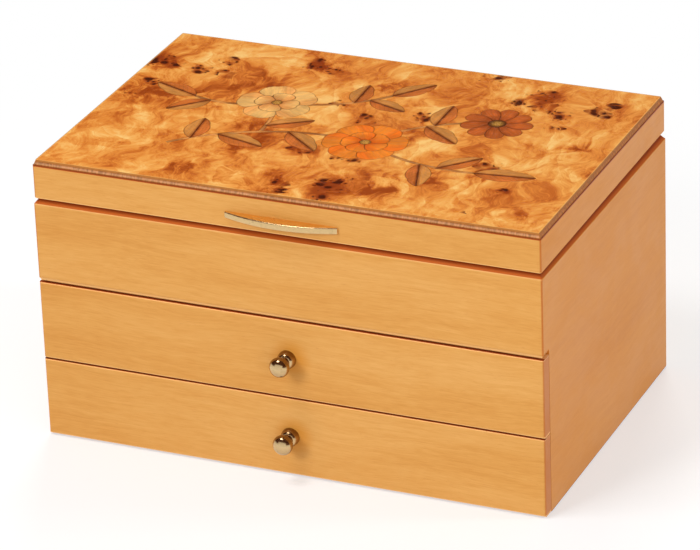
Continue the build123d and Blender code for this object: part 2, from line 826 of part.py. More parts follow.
def double_blossom(centre, size, counts, turn):
    """Two rings of lapped petals round a heart. Gives petals, heart and outline."""
    outer_count, inner_count = counts
    inner_turn = turn + 180 / inner_count
    heart = Pos(centre.X, centre.Y) * Circle(size * HEART)
    outer = petal_ring(centre, outer_count, size, size * OUTER_BREADTH, size * OUTER_START, turn)
    inner = petal_ring(
        centre, inner_count, size * INNER_LENGTH, size * INNER_BREADTH, size * INNER_START, inner_turn
    )
    heart_outline = offset(heart, GLUE_LINE)
    inner_outline = widened(inner) + heart_outline
    petals = [lobe - inner_outline for lobe in pinwheel(outer)]
    petals += [lobe - heart_outline for lobe in pinwheel(inner)]
    return petals, heart, widened(outer) + inner_outline


def daisy(centre, size, count, turn):
    """One ring of slim petals round a broad heart. Gives petals, heart and outline."""
    heart = Pos(centre.X, centre.Y) * Circle(size * DAISY_HEART)
    heart_outline = offset(heart, GLUE_LINE)
    ring = petal_ring(centre, count, size, size * DAISY_BREADTH, size * DAISY_START, turn)
    petals = [lobe - heart_outline for lobe in pinwheel(ring)]
    return petals, heart, widened(ring) + heart_outline


def leaf_edge(length, half_breadth, sign):
    """One edge of a leaf as a row of small lobes from its stalk to its tip."""
    points = []
    for step in range(LEAF_LOBES + 1):
        share = step / LEAF_LOBES
        breadth = half_breadth * math.sin(math.pi * share**LEAF_BELLY)
        points.append((length * share, sign * (breadth + GLUE_LINE / 2)))
    edges = []
    for start, end in zip(points, points[1:]):
        bow = math.dist(start, end) * LEAF_LOBE_BOW
        edges.append(SagittaArc(start, end, bow * sign))
    return edges


def leaf_half(length, half_breadth, sign):
    """The half of a leaf on one side of its midrib."""
    edges = leaf_edge(length, half_breadth, sign)
    rib = GLUE_LINE / 2 * sign
    return make_face(edges + [Line((length, rib), (0, rib))])


def leaf_seat(line, share, turn):
    """Where a leaf grows from a stem, and which way it points."""
    place = line.position_at(share)
    along = line.tangent_at(share)
    return Pos(place.X, place.Y) * Rot(0, 0, math.degrees(math.atan2(along.Y, along.X)) + turn)


def inlay_layer(outlines):
    """Flat outlines raised through the veneer, one solid for each piece."""
    flat = [face for outline in outlines for face in outline.faces()]
    return group([Pos(0, 0, veneer_bottom) * extrude(face, VENEER, dir=(0, 0, 1)) for face in flat])


def add_inlay():
    """The veneer with its cut-outs, and the pieces of other woods set into them."""
    blossoms = {
        "orange": double_blossom(lid_place(*ROSE_AT), ROSE, ROSE_PETALS, ROSE_TURN),
        "cream": double_blossom(lid_place(*WILD_ROSE_AT), WILD_ROSE, WILD_ROSE_PETALS, WILD_ROSE_TURN),
        "russet": daisy(lid_place(*DAISY_AT), DAISY, DAISY_PETALS, DAISY_TURN),
    }
    taken = joined([outline for petals, heart, outline in blossoms.values()])
    lines, light, dark = [], [], []
    for (start, end, bow), leaves in STEMS:
        line = SagittaArc(lid_place(*start), lid_place(*end), bow)
        lines.append(line)
        for share, turn, length, half_breadth in leaves:
            seat = leaf_seat(line, share, turn)
            upper, lower = [seat * leaf_half(length, half_breadth, sign) - taken for sign in (1, -1)]
            light.append(upper)
            dark.append(lower)
            taken = taken + offset(upper, GLUE_LINE) + offset(lower, GLUE_LINE)
    stem = joined([trace(line, STEM_WIDTH) for line in lines]) - taken
    pocket = taken + joined([trace(line, STEM_WIDTH + 2 * GLUE_LINE) for line in lines])
    room = Pos(0, 0, veneer_bottom - SPARE) * extrude(pocket, VENEER + 2 * SPARE, dir=(0, 0, 1))
    sheet = lid_top_layer(veneer_bottom, lid_top) - room
    # Splinters that the cut-outs leave loose are not part of the sheet.
    nodes["burl_veneer"] = max(sheet.solids(), key=lambda solid: solid.volume)
    for wood, (petals, heart, outline) in blossoms.items():
        nodes["inlay_" + wood + "_petals"] = inlay_layer(petals)
    nodes["inlay_hearts"] = inlay_layer([heart for petals, heart, outline in blossoms.values()])
    nodes["inlay_light_leaves"] = inlay_layer(light)
    nodes["inlay_dark_leaves"] = inlay_layer(dark)
    nodes["inlay_stems"] = inlay_layer([stem])


# Assembly

envelope = case_envelope()
lip_cut = tier_lip_cut()
outside_of_lid = lid_envelope()

nodes["left_side_panel"] = side_panel(LEFT_SIDE, -1)
nodes["right_side_panel"] = side_panel(RIGHT_SIDE, 1)
nodes["back_panel"] = case_back()
nodes["tier_front_panel"] = tier_front()
nodes["tray_floor"] = tray_floor_block(GLUE)
nodes["base_panel"] = base_block(GLUE, FELT)
nodes["base_felt"] = felt_sheet()
for drawer_name, number in (("lower", 0), ("upper", 1)):
    nodes[drawer_name + "_runner_left"] = runner_block(-1, number, GLUE)
    nodes[drawer_name + "_runner_right"] = runner_block(1, number, GLUE)
nodes["tray_floor_lining"] = tray_floor_lining()
nodes["tray_wall_lining"] = tray_wall_linings()
tray_dividers()
nodes["ring_rolls"] = ring_rolls()

add_drawer("lower_drawer", 0, False)
add_drawer("upper_drawer", 1, True)

nodes["lid_front_rail"] = lid_rail(FRONT_SIDE)
nodes["lid_right_rail"] = lid_rail(RIGHT_SIDE)
nodes["lid_back_rail"] = lid_rail(BACK_SIDE)
nodes["lid_left_rail"] = lid_rail(LEFT_SIDE)
nodes["lid_top_panel"] = lid_top_layer(rail_top, veneer_bottom)
nodes["lid_mirror"] = mirror_plate()
nodes["mirror_surround"] = mirror_surround()
nodes["lid_pull"] = lid_pull()
nodes["pull_screws"] = pull_screws()
add_hinges()
add_inlay()

for name, shape in nodes.items():
    export_step(shape, os.path.join("parts", name + ".step"))
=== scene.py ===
import bmesh
import bpy
import math
from mathutils import Matrix, Vector


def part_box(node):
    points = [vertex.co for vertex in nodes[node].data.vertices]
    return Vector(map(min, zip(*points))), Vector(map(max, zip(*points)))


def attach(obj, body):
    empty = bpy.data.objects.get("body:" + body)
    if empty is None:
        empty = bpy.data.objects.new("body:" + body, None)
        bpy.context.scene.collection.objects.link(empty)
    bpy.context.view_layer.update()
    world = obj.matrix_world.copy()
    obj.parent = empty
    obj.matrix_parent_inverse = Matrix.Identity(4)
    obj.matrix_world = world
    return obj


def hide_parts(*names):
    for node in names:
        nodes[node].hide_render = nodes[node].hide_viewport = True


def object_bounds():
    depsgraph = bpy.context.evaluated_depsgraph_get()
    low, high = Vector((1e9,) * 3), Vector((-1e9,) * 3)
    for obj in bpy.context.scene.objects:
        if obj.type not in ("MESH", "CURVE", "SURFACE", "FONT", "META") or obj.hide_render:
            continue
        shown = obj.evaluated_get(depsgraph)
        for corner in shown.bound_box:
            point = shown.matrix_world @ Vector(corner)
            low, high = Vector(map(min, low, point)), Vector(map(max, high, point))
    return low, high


# A wooden jewelry box with an inlaid lid, a lined tray and two drawers, dressed over its solids
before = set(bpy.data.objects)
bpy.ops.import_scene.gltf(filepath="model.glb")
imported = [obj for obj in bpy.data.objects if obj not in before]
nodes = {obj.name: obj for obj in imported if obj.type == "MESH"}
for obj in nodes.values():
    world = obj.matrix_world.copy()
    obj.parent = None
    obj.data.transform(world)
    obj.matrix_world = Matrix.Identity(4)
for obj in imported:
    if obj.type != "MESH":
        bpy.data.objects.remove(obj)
cad_low, cad_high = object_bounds()

# Lengths are in metres. Small ones are written in millimetres, times MM.
MM = 0.001
QUARTER_TURN = math.pi / 2
X, Y, Z = range(3)


def srgb(red, green, blue):
    """A colour from 0 to 255 as the eye reads it, in the linear form that shaders use."""
    shares = [value / 255 for value in (red, green, blue)]
    linear = [s / 12.92 if s <= 0.04045 else ((s + 0.055) / 1.055) ** 2.4 for s in shares]
    return (*linear, 1.0)


# Camera, fitted to the photograph
AZIMUTH = math.radians(24.043)
ELEVATION = math.radians(25.475)
ROLL = math.radians(2.18)
CAMERA_AIM = Vector((-0.0041, 0.0, 0.0762))
CAMERA_DISTANCE = 2.4477
CAMERA_LENS = 229.2

# Lamps: the way towards each lamp, its distance, its size, its power, and whether gloss shows it
LAMPS = {
    "key_softbox": ((-0.375, -0.794, 0.478), 3.4, 0.9, 38.5, False),
    "fill_softbox": ((0.62, -0.74, 0.26), 1.3, 0.7, 3.1, False),
    "top_softbox": ((-0.24, -0.34, 0.91), 1.1, 0.3, 3.6, True),
    "side_softbox": ((0.881, 0.257, 0.391), 1.9, 0.3, 7.0, True),
    "back_softbox": ((-0.25, 0.86, 0.44), 2.8, 1.0, 30.0, False),
}
AMBIENT = 0.34
WHITE = (1.0, 1.0, 1.0, 1.0)
# Floor: its own shade, the light that it adds when seen and when not seen, and where it turns white
FLOOR_SIZE = 14.0
FLOOR_SHADE = (0.55, 0.55, 0.55, 1.0)
FLOOR_LIFT = 0.49
FLOOR_GLOW = 0.26
FLOOR_NEAR = 0.24
FLOOR_FAR = 0.55
# Dark cards that only gloss shows: the middle, the turn and the size of each
DARK_CARDS = {
    "dark_ceiling": ((0.0, 0.2, 1.2), (math.radians(-5.0), 0.0, 0.0), 5.0),
    "dark_back_wall": ((0.0, 2.7, 1.4), (QUARTER_TURN, 0.0, 0.0), 5.0),
    "dark_right_wall": ((1.7, -0.6, 1.3), (0.0, QUARTER_TURN, math.radians(-25.0)), 2.2),
    "dark_left_wall": ((-1.9, -0.9, 1.5), (0.0, QUARTER_TURN, math.radians(25.0)), 2.2),
}
DARK_SHADE = (0.16, 0.06, 0.035, 1.0)

# Ranges: what most of a noise fills, and how far a face turns from one way to another
NOISE_RANGE = (0.3, 0.7)
FACE_TURN = (0.3, 0.6)

# Long grain: waves in a metre and how far they bend it, then noises, as waves along and across it
GRAIN_BEND = (9.0, 12 * MM)
GRAIN_BROAD = (5.0, 30.0, 30.0)
GRAIN_STREAK = (26.0, 420.0, 420.0)
GRAIN_FINE = (110.0, 1500.0, 1500.0)
GRAIN_PORE = (240.0, 2600.0, 2600.0)
GRAIN_WEIGHTS = (0.46, 0.28, 0.26)
PORE_RANGE = (0.66, 0.74)

# Smears from handling and the nap of cloth: waves in a metre, and the weights of their noises
SMEAR_WIDE = 22.0
SMEAR_NARROW = (60.0, 160.0, 160.0)
SMEAR_WEIGHTS = (0.7, 0.3)
NAP_BRUSHED = 28.0
NAP_TUFTS = 900.0
NAP_FIBRES = (2600.0, 700.0, 2600.0)
NAP_WEIGHTS = (0.6, 0.4)

# Honey wood: its grain from dark to light, its pores, painted shade along its edges and gaps, and pale
# painted highlights on its edges
# Red-brown colours that paint the shade in the gaps between boards; the lighter one also colours the end
# grain at the ends of boards
END_GRAIN_AND_GAP_SHADE = srgb(192, 94, 32)
DEEP_GAP_SHADE = srgb(136, 54, 14)
HONEY_FRONT = {
    "dark": srgb(213, 146, 69),
    "middle": srgb(223, 160, 83),
    "light": srgb(231, 172, 98),
    "pore": srgb(200, 128, 62),
    "edge": END_GRAIN_AND_GAP_SHADE,
    "gap": DEEP_GAP_SHADE,
    "painted_highlight": srgb(255, 199, 129),
}
# The side boards take a darker, more saturated copy of the honey colours, which paints the shade of the
# sides
HONEY_SIDE_SHADED = {
    "dark": srgb(212, 133, 52),
    "middle": srgb(220, 143, 60),
    "light": srgb(227, 152, 68),
    "pore": srgb(204, 120, 46),
    "edge": END_GRAIN_AND_GAP_SHADE,
    "gap": DEEP_GAP_SHADE,
    "painted_highlight": srgb(250, 168, 88),
}
GRAIN_STOPS = (("dark", 0.32), ("middle", 0.5), ("light", 0.7))
GRAIN_RELIEF = 0.02 * MM
PORE_SHARE = 0.3
HONEY_GLOSS = (0.32, 0.42)
BOARD_SHINE = 0.14
FRONT_FIGURE = 1.25
SIDE_FIGURE = 0.8
# How wide the painted gap shade and the pale painted highlight are along the lower edge of a board, and
# then along its upper edge
CASE_RIM_SHADING = ((0.3 * MM, 0.0), (2.5 * MM, 0.0))
TIER_RIM_SHADING = ((0.1 * MM, 2.0 * MM), (2.5 * MM, 3.6 * MM))
DRAWER_RIM_SHADING = ((0.1 * MM, 1.2 * MM), (0.3 * MM, 0.8 * MM))
LID_RIM_SHADING = ((0.1 * MM, 0.9 * MM), (0.8 * MM, 0.0))
INSIDE_RIM_SHADING = ((0.3 * MM, 0.0), (0.3 * MM, 0.0))
# The part of the painted gap shade that is darkest, how far in it covers level faces, and what counts as
# level
GAP_PART = 0.9
GAP_REACH = 3.0 * MM
LEVEL_FACE = (0.85, 0.97)
# Pale strips of painted highlight, and darker end grain at the ends of boards
HIGHLIGHT_SHARE = 0.8
END_START = 0.1 * MM
END_WIDTH = 0.9 * MM
END_SHARE = 0.65
# The outer boards, with the way their grain runs, their colours and their painted shade and highlights at
# the rims
ALONG_X = 0.0
ALONG_Y = QUARTER_TURN
HONEY_BOARDS = (
    ("tier_front_panel", ALONG_X, HONEY_FRONT, TIER_RIM_SHADING),
    ("upper_drawer_front", ALONG_X, HONEY_FRONT, DRAWER_RIM_SHADING),
    ("lower_drawer_front", ALONG_X, HONEY_FRONT, DRAWER_RIM_SHADING),
    ("lid_front_rail", ALONG_X, HONEY_FRONT, LID_RIM_SHADING),
    ("back_panel", ALONG_X, HONEY_FRONT, CASE_RIM_SHADING),
    ("lid_back_rail", ALONG_X, HONEY_FRONT, LID_RIM_SHADING),
    ("left_side_panel", ALONG_Y, HONEY_SIDE_SHADED, CASE_RIM_SHADING),
    ("right_side_panel", ALONG_Y, HONEY_SIDE_SHADED, CASE_RIM_SHADING),
    ("lid_left_rail", ALONG_Y, HONEY_SIDE_SHADED, LID_RIM_SHADING),
    ("lid_right_rail", ALONG_Y, HONEY_SIDE_SHADED, LID_RIM_SHADING),
)
DRAWERS = ("upper_drawer", "lower_drawer")
BOARD_SHIFT = 0.43
# Lid rails whose lower bevel is drawn out to a fine edge: where its points lie, and how far they move
FINE_RAILS = ("lid_front_rail", "lid_left_rail", "lid_right_rail")
RAIL_FRONT = 4.0 * MM
RAIL_FOOT = 0.5 * MM
RAIL_ARRIS = 2.5 * MM
RAIL_OUT = 1.3 * MM
RAIL_DOWN = 1.35 * MM
# A deeper orange painted round a knob, a little to the right of it: painted glow of light off the brass and
# painted warm shadow
KNOB_GLOW = srgb(218, 138, 36)
KNOB_GLOW_NEAR = 4.0 * MM
KNOB_GLOW_FAR = 14.0 * MM
KNOB_GLOW_SHARE = 0.65
KNOB_GLOW_SHIFT = 2.0 * MM

# Inside woods
DRAWER_DARK = srgb(204, 160, 108)
DRAWER_LIGHT = srgb(226, 188, 138)
RUNNER_DARK = srgb(196, 146, 92)
RUNNER_LIGHT = srgb(214, 168, 114)
PLY_DARK = srgb(196, 150, 100)
PLY_LIGHT = srgb(222, 182, 130)
PLY_GLUE = srgb(132, 88, 50)
PLY_LAYER = 1.0 * MM
PLY_LINE = (0.05, 0.12)
INSIDE_FIGURE = 1.6
PLY_FIGURE = 1.8
DRAWER_GLOSS = (0.51, 0.61)
RUNNER_GLOSS = (0.36, 0.46)
PLY_GLOSS = (0.62, 0.5)
PLY_SHINE = 0.3
PLY_RELIEF = 0.04 * MM

# Lid edge: bands from its foot to its top that paint a dark foot line and a pale highlight, each with the
# share of the height where it lies
EDGE_PAINTED_BANDS = (
    (0.0, srgb(156, 88, 36)),
    (0.2, srgb(166, 98, 46)),
    (0.34, srgb(206, 148, 104)),
    (0.7, srgb(194, 134, 90)),
    (0.85, srgb(170, 108, 60)),
    (1.0, srgb(160, 98, 48)),
)
EDGE_END = srgb(184, 104, 34)
EDGE_RIM = srgb(166, 100, 46)
EDGE_RIM_WIDTH = 0.7 * MM
EDGE_RIM_SHARE = 0.9
# How strong the pale painted highlight is just inside the brown rim of the burl
EDGE_HIGHLIGHT_SHARE = 0.45
EDGE_END_SHARE = 0.75
EDGE_STREAK = (900.0, 900.0, 60.0)
EDGE_TONES = (0.68, 1.16)
EDGE_GLOSS = (0.34, 0.44)
EDGE_SHINE = 0.12
EDGE_RELIEF = 0.03 * MM

# Burl veneer
BURL_DEEP = srgb(156, 66, 14)
BURL_RED = srgb(196, 100, 32)
BURL_GOLD = srgb(225, 136, 54)
BURL_LIGHT = srgb(240, 166, 80)
BURL_PALE = srgb(250, 200, 120)
BURL_HALO = srgb(138, 50, 10)
BURL_EYE = srgb(62, 20, 8)
BURL_STOPS = (
    (0.2, BURL_DEEP),
    (0.38, BURL_RED),
    (0.53, BURL_GOLD),
    (0.68, BURL_LIGHT),
    (0.88, BURL_PALE),
)
# Warps of the burl: waves in a metre, and how far they push
SWIRL = (24.0, 44 * MM)
RIPPLE = (100.0, 9 * MM)
ARC_WARP = (30.0, 22 * MM)
CLOUD_WARPS = ((30.0, 18 * MM), (90.0, 14 * MM), (260.0, 7 * MM))
EYE_WARPS = ((60.0, 10 * MM), (420.0, 0.9 * MM))
# Noises of the burl: waves in a metre along each axis
BURL_DRIFT = (30.0, 22.0, 1.0)
BURL_FLAME = (95.0, 60.0, 1.0)
BURL_CURL = (240.0, 150.0, 1.0)
BURL_THREAD = (1300.0, 240.0, 1.0)
BURL_WISP = (52.0, 34.0, 1.0)
BURL_CALM = (17.0, 12.0, 1.0)
THREAD_TURN = 0.35
WISP_RANGE = (0.8, 1.3)
WISP_NEAR = (0.0, 0.6, 0.45, 0.75)
ARC_LINES = 11.0
ARC_RANGE = (0.4, 0.6)
CLOUD_BREAKS = (0.3, 0.65, 1.3, 0.5)
# How much each part of the figure lightens the burl
DRIFT_WEIGHT = 0.75
FLAME_WEIGHT = 0.75
CURL_WEIGHT = 0.45
THREAD_WEIGHT = 0.3
CLOUD_WEIGHT = -0.34
GLADE_WEIGHT = 0.07
CROWD_WEIGHT = -0.1
ARC_WEIGHT = 0.16
BURL_LEVEL = -0.595
# Eyes of the burl: cells in a metre, how rare an eye is, and its greatest size in its cell
LARGE_EYES = (135.0, 0.1, 0.5)
SMALL_EYES = (300.0, 0.45, 0.44)
EYE_LEAST = 0.001
EYE_CORE = (0.45, 1.0)
EYE_HALO = (0.6, 2.8)
HALO_SHARE = 0.85
SMALL_HALO_SHARE = 0.7
EYE_SHARE = 0.92
EYE_RELIEF = -0.04 * MM
CROWD_HEART = 0.4
CROWD_DEEP = 0.2
BURL_GLOSS = (0.24, 0.32)
BURL_SHINE = 0.1
# Where the eyes of the burl crowd together on the lid, with the reach of each crowd, in millimetres
EYE_CROWDS = (
    (-54, 74, 10), (-40, 69, 8), (-101, 65, 8), (-140, 52, 14), (-130, 49, 9), (-112, 48, 9),
    (-97, 46, 9), (-130, 24, 8), (-134, 8, 8), (-19, 28, 8), (2, 13, 10), (33, 27, 10),
    (20, -8, 10), (-15, -35, 10), (9, -37, 8), (17, -38, 9), (20, -71, 15), (17, -87, 12),
    (-8, -78, 8), (-5, -88, 8), (84, 73, 12), (89, 58, 10), (100, 53, 10), (72, 61, 9),
    (120, 62, 12), (125, 74, 6), (105, 34, 8), (91, -27, 12), (107, -52, 6), (95, -82, 6),
    (47, 91, 12), (20, 93, 6),
)
# Where the burl darkens in broad red-brown clouds, in the same way
DARK_CLOUDS = (
    (-120, 16, 34), (-82, 22, 26), (-46, -28, 30), (-66, 46, 16), (34, -58, 20), (46, -72, 16),
    (66, -50, 16), (91, -30, 15), (122, -74, 13), (74, 40, 14), (20, -76, 18), (-18, -70, 12),
    (-15, -34, 12), (-140, 52, 16), (86, 68, 16), (-50, 74, 14), (36, 2, 16), (126, 14, 12),
    (-70, -80, 14), (0, 60, 14),
)
# Where the burl stays pale, in the same way
PALE_GLADES = (
    (-118, -74, 30), (-120, -34, 20), (60, 84, 26), (112, 8, 22), (80, -84, 22), (-4, -54, 18),
    (-110, 84, 22), (-20, 50, 20), (120, -44, 16), (58, -10, 14),
)

# Inlay woods
ORANGE = srgb(250, 140, 42)
ORANGE_SHADE = srgb(218, 92, 14)
CREAM = srgb(254, 194, 112)
CREAM_SHADE = srgb(214, 134, 66)
RUSSET = srgb(204, 100, 38)
RUSSET_SHADE = srgb(136, 56, 20)
HEART = srgb(222, 160, 70)
HEART_SHADE = srgb(104, 56, 22)
OLIVE = srgb(222, 146, 70)
OLIVE_SHADE = srgb(168, 90, 36)
DARK_LEAF = srgb(202, 108, 44)
DARK_LEAF_SHADE = srgb(112, 46, 14)
STEM = srgb(226, 150, 78)
STEM_SHADE = srgb(172, 104, 52)
INLAY_LINE = srgb(88, 44, 18)
INLAY_LINE_WIDTH = 0.45 * MM
INLAY_LINE_RANGE = (0.1, 1.0)
INLAY_FIGURE = 2.2
INLAY_RANGE = (0.2, 0.8)
INLAY_TONES = (0.7, 1.14)
INLAY_GLOSS = (0.3, 0.24)
INLAY_SHINE = 0.12
# Patches: waves in a metre, where in their noise they start and end, and for the first the tones there
INLAY_PATCHES = (75.0, 0.35, 0.65, 0.86, 1.1)
PETAL_BREAKS = (260.0, 0.38, 0.58)
STEM_TONES = (90.0, 0.35, 0.6)
STEM_FLECKS = (420.0, 0.56, 0.7)
# Scorched shading: its reach along the grain or across it, and waves in a metre with their height
PETAL_SCORCH = (4.0 * MM, 15.0 * MM)
PETAL_SIDE = (-3.0 * MM, 3.0 * MM)
PETAL_SIDE_LIGHT = 0.35
PETAL_WAVE = (240.0, 5.0 * MM)
LEAF_SCORCH = (0.8 * MM, 3.0 * MM)
LEAF_STALK = 9.0 * MM
LEAF_STALK_LIGHT = 0.5
LEAF_WAVE = (200.0, 2.0 * MM)
HEART_SCORCH = (1.2 * MM, 4.4 * MM)
# Engraved veins: a fan of lines in a petal, slanting lines in a leaf and dots in a heart
FAN_START = 4.0 * MM
FAN_LINES = 11.0
FAN_WAVE = (160.0, 0.6)
FAN_WIDTH = 0.12
LEAF_VEIN_PITCH = 3.4 * MM
LEAF_VEIN_WIDTH = 0.07
STAMENS = 900.0
STAMEN_RANGE = (0.2, 0.45)

# Metals, glass and cloth
KNOB_BRASS = (0.66, 0.47, 0.24, 1.0)
PULL_BRASS = (0.97, 0.70, 0.35, 1.0)
HINGE_BRASS = (0.80, 0.60, 0.30, 1.0)
DULL_BRASS = (0.34, 0.21, 0.09, 1.0)
STEEL = (0.62, 0.62, 0.62, 1.0)
DULL_STEEL = (0.36, 0.35, 0.33, 1.0)
DARK_BRASS = (0.27, 0.17, 0.08, 1.0)
# Specks of tarnish, as patches, and the turn over which a face comes to look to the front, up or down
METAL_SPECKS = (520.0, 0.52, 0.72)
FRONT_TURN = (-0.8, 0.0)
TOP_TURN = (0.1, 0.7)
UNDER_TURN = (-0.8, 0.1)
# How metals have aged and are shaded: gloss from clean to smeared, specks of tarnish, and painted darker
# reflections by the way a face looks
KNOB_WEAR_AND_SHADING = {"gloss": (0.14, 0.22), "specked": 0.2, "sides": 0.5, "top": 0.6, "under": 0.5}
PULL_WEAR_AND_SHADING = {"gloss": (0.2, 0.3), "specked": 0.2, "front": 0.42}
HINGE_AGE = {"gloss": (0.2, 0.32), "specked": 0.65}
STEEL_AGE = {"gloss": (0.22, 0.34), "specked": 0.65}
METAL_FINE = 1400.0
METAL_RELIEF = 0.001 * MM
SILVER = (0.92, 0.93, 0.93, 1.0)
MIRROR_GLOSS = (0.015, 0.04)
SUEDE_DARK = srgb(176, 148, 112)
SUEDE_LIGHT = srgb(214, 190, 154)
FELT_DARK = srgb(64, 40, 24)
FELT_LIGHT = srgb(96, 64, 40)
SUEDE_NAP = 1.0
FELT_NAP = 1.6
NAP_RELIEF = 0.12 * MM
NAP_GLOSS = (0.95, 0.85)
NAP_SHEEN = {"Sheen_Weight": 0.35, "Sheen_Roughness": 0.5, "Specular_IOR_Level": 0.2}

# Knob profile, with radii and distances out from the drawer front
KNOB_SIDES = 72
KNOB_BASE = 5.2 * MM
KNOB_BASE_RIM = 0.4 * MM
KNOB_BASE_OUT = 4.8 * MM
KNOB_NECK = 3.0 * MM
KNOB_HEAD = 5.6 * MM
KNOB_HEAD_OUT = 10.7 * MM
KNOB_TIP_OUT = 14.9 * MM
KNOB_STEPS = 10
KNOB_SMOOTH = math.radians(24)

# Lid pull: depth of its ends, plate over its hollow, rim round it, half its length, cuts and eased edge
PULL_END = 1.2 * MM
PULL_PLATE = 1.3 * MM
PULL_RIM = 1.5 * MM
PULL_HOLLOW = 22 * MM
PULL_STEPS = 40
PULL_EASE = 0.8 * MM

# Edges and faces
EASE_SEGMENTS = 4
SHARP_ANGLE = math.radians(35)
SMOOTH_ANGLE = math.radians(40)
RAIL_SMOOTH = math.radians(30)
LEVEL = 0.9
MERGE_GAP = 0.001 * MM

# Soft pieces: eased edges, the row of ring rolls, and how full each padding is
CARD_EASE = 0.7 * MM
DIVIDER_EASE = 1.6 * MM
FELT_EASE = 0.3 * MM
ROLLS = 11
ROLL_GAP = 0.6 * MM
ROLL_SLACK = 0.7 * MM
ROLL_VOXEL = 2.2 * MM
ROLL_SEAT = 2.0 * MM
ROLL_PRESSURE = 4.0
ROLL_FRAMES = 16
ROLL_SWELL = 0.7 * MM
ROLL_ROUNDING = 0.98
ROLL_SEGMENTS = 10

# Mirror
MIRROR_GAP = 0.2 * MM
MIRROR_BEVEL = 7.0 * MM
MIRROR_BEVEL_RISE = 0.8 * MM


# Modelling helpers


def make_active(piece):
    """Selects one piece alone."""
    bpy.ops.object.select_all(action="DESELECT")
    piece.select_set(True)
    bpy.context.view_layer.objects.active = piece


def name_new(name):
    """Names the primitive that was just added and puts its place in its mesh."""
    piece = bpy.context.active_object
    piece.name = name
    piece.data.name = name
    bpy.ops.object.transform_apply(location=True, rotation=True, scale=True)
    return piece


def start_block(name, low, high):
    """A cube primitive stretched between two corners."""
    bpy.ops.object.select_all(action="DESELECT")
    bpy.ops.mesh.primitive_cube_add(size=1.0, location=(Vector(low) + Vector(high)) / 2)
    bpy.context.active_object.scale = Vector(high) - Vector(low)
    return name_new(name)


def start_edit(piece):
    """Opens one piece for shaping."""
    make_active(piece)
    bpy.ops.object.mode_set(mode="EDIT")


def end_edit():
    """Closes the piece that is being shaped."""
    bpy.ops.object.mode_set(mode="OBJECT")


def pick(piece, kind, test):
    """Selects the vertices, edges or faces of the open piece that pass a test."""
    bpy.ops.mesh.select_mode(type=kind)
    bpy.ops.mesh.select_all(action="DESELECT")
    shape = bmesh.from_edit_mesh(piece.data)
    elements = {"VERT": shape.verts, "EDGE": shape.edges, "FACE": shape.faces}[kind]
    shape.normal_update()
    for element in elements:
        if test(element):
            element.select_set(True)
    bmesh.update_edit_mesh(piece.data)


def apply_modifiers(piece):
    """Makes every modifier of a piece part of its mesh."""
    make_active(piece)
    for modifier in list(piece.modifiers):
        bpy.ops.object.modifier_apply(modifier=modifier.name)


def ease_edges(piece, width):
    """Rounds the sharp edges of a piece."""
    bevel = piece.modifiers.new("eased_edges", "BEVEL")
    bevel.width = width
    bevel.segments = EASE_SEGMENTS
    bevel.limit_method = "ANGLE"
    bevel.angle_limit = SHARP_ANGLE
    apply_modifiers(piece)
    bpy.ops.object.shade_smooth_by_angle(angle=SMOOTH_ANGLE)


def copy_solid(name, source):
    """A solid's own mesh, merged, as a new piece."""
    piece = bpy.data.objects.new(name, nodes[source].data.copy())
    bpy.context.scene.collection.objects.link(piece)
    start_edit(piece)
    bpy.ops.mesh.select_all(action="SELECT")
    bpy.ops.mesh.remove_doubles(threshold=MERGE_GAP)
    bpy.ops.mesh.customdata_custom_splitnormals_clear()
    end_edit()
    return piece


def face_out():
    """Turns every face of the open piece outwards."""
    bpy.ops.mesh.select_all(action="SELECT")
    bpy.ops.mesh.normals_make_consistent(inside=False)


def join(name, pieces):
    """Several pieces as one mesh."""
    make_active(pieces[0])
    for piece in pieces[1:]:
        piece.select_set(True)
    bpy.ops.object.join()
    pieces[0].name = name
    pieces[0].data.name = name
    return pieces[0]


def set_in(piece, body, finish, slot, *replaced):
    """Dresses a finished piece, fixes it to its body and hides the solids that it stands for."""
    piece.data.materials.clear()
    piece.data.materials.append(finish)
    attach(piece, body)
    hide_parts(*replaced)


def dress(finish, *names):
    """Gives solids that stay as they are a finish."""
    for name in names:
        nodes[name].data.materials.clear()
        nodes[name].data.materials.append(finish)


# Shader helpers


def add_node(tree, kind, inputs, **settings):
    """Adds a node, sets its options, and links or sets its inputs."""
    made = tree.nodes.new("ShaderNode" + kind)
    for name, value in settings.items():
        setattr(made, name, value)
    for key, value in inputs.items():
        if isinstance(value, bpy.types.NodeSocket):
            tree.links.new(value, made.inputs[key])
        else:
            made.inputs[key].default_value = value
    return made


def calculate(tree, operation, *values):
    """The outcome of one sum."""
    return add_node(tree, "Math", dict(enumerate(values)), operation=operation).outputs[0]


def calculate_vector(tree, operation, *values):
    """The outcome of one sum with vectors."""
    return add_node(tree, "VectorMath", dict(enumerate(values)), operation=operation).outputs[0]


def times(tree, first, second):
    """One value times another."""
    return calculate(tree, "MULTIPLY", first, second)


def size_of(tree, value):
    """A value without its sign."""
    return calculate(tree, "ABSOLUTE", value)


def fade(tree, value, start, end, low=0.0, high=1.0):
    """Goes softly from low to high while a value goes from start to end."""
    inputs = {"Value": value, "From Min": start, "From Max": end, "To Min": low, "To Max": high}
    return add_node(tree, "MapRange", inputs, interpolation_type="SMOOTHSTEP").outputs[0]


def fall(tree, value, start, end, share=1.0):
    """Goes softly from a share to nothing while a value goes from start to end."""
    return fade(tree, value, start, end, share, 0.0)


def mix(tree, share, first, second, how="MIX"):
    """One colour laid over another."""
    made = add_node(tree, "Mix", {0: share, 6: first, 7: second}, data_type="RGBA", blend_type=how)
    return made.outputs[2]


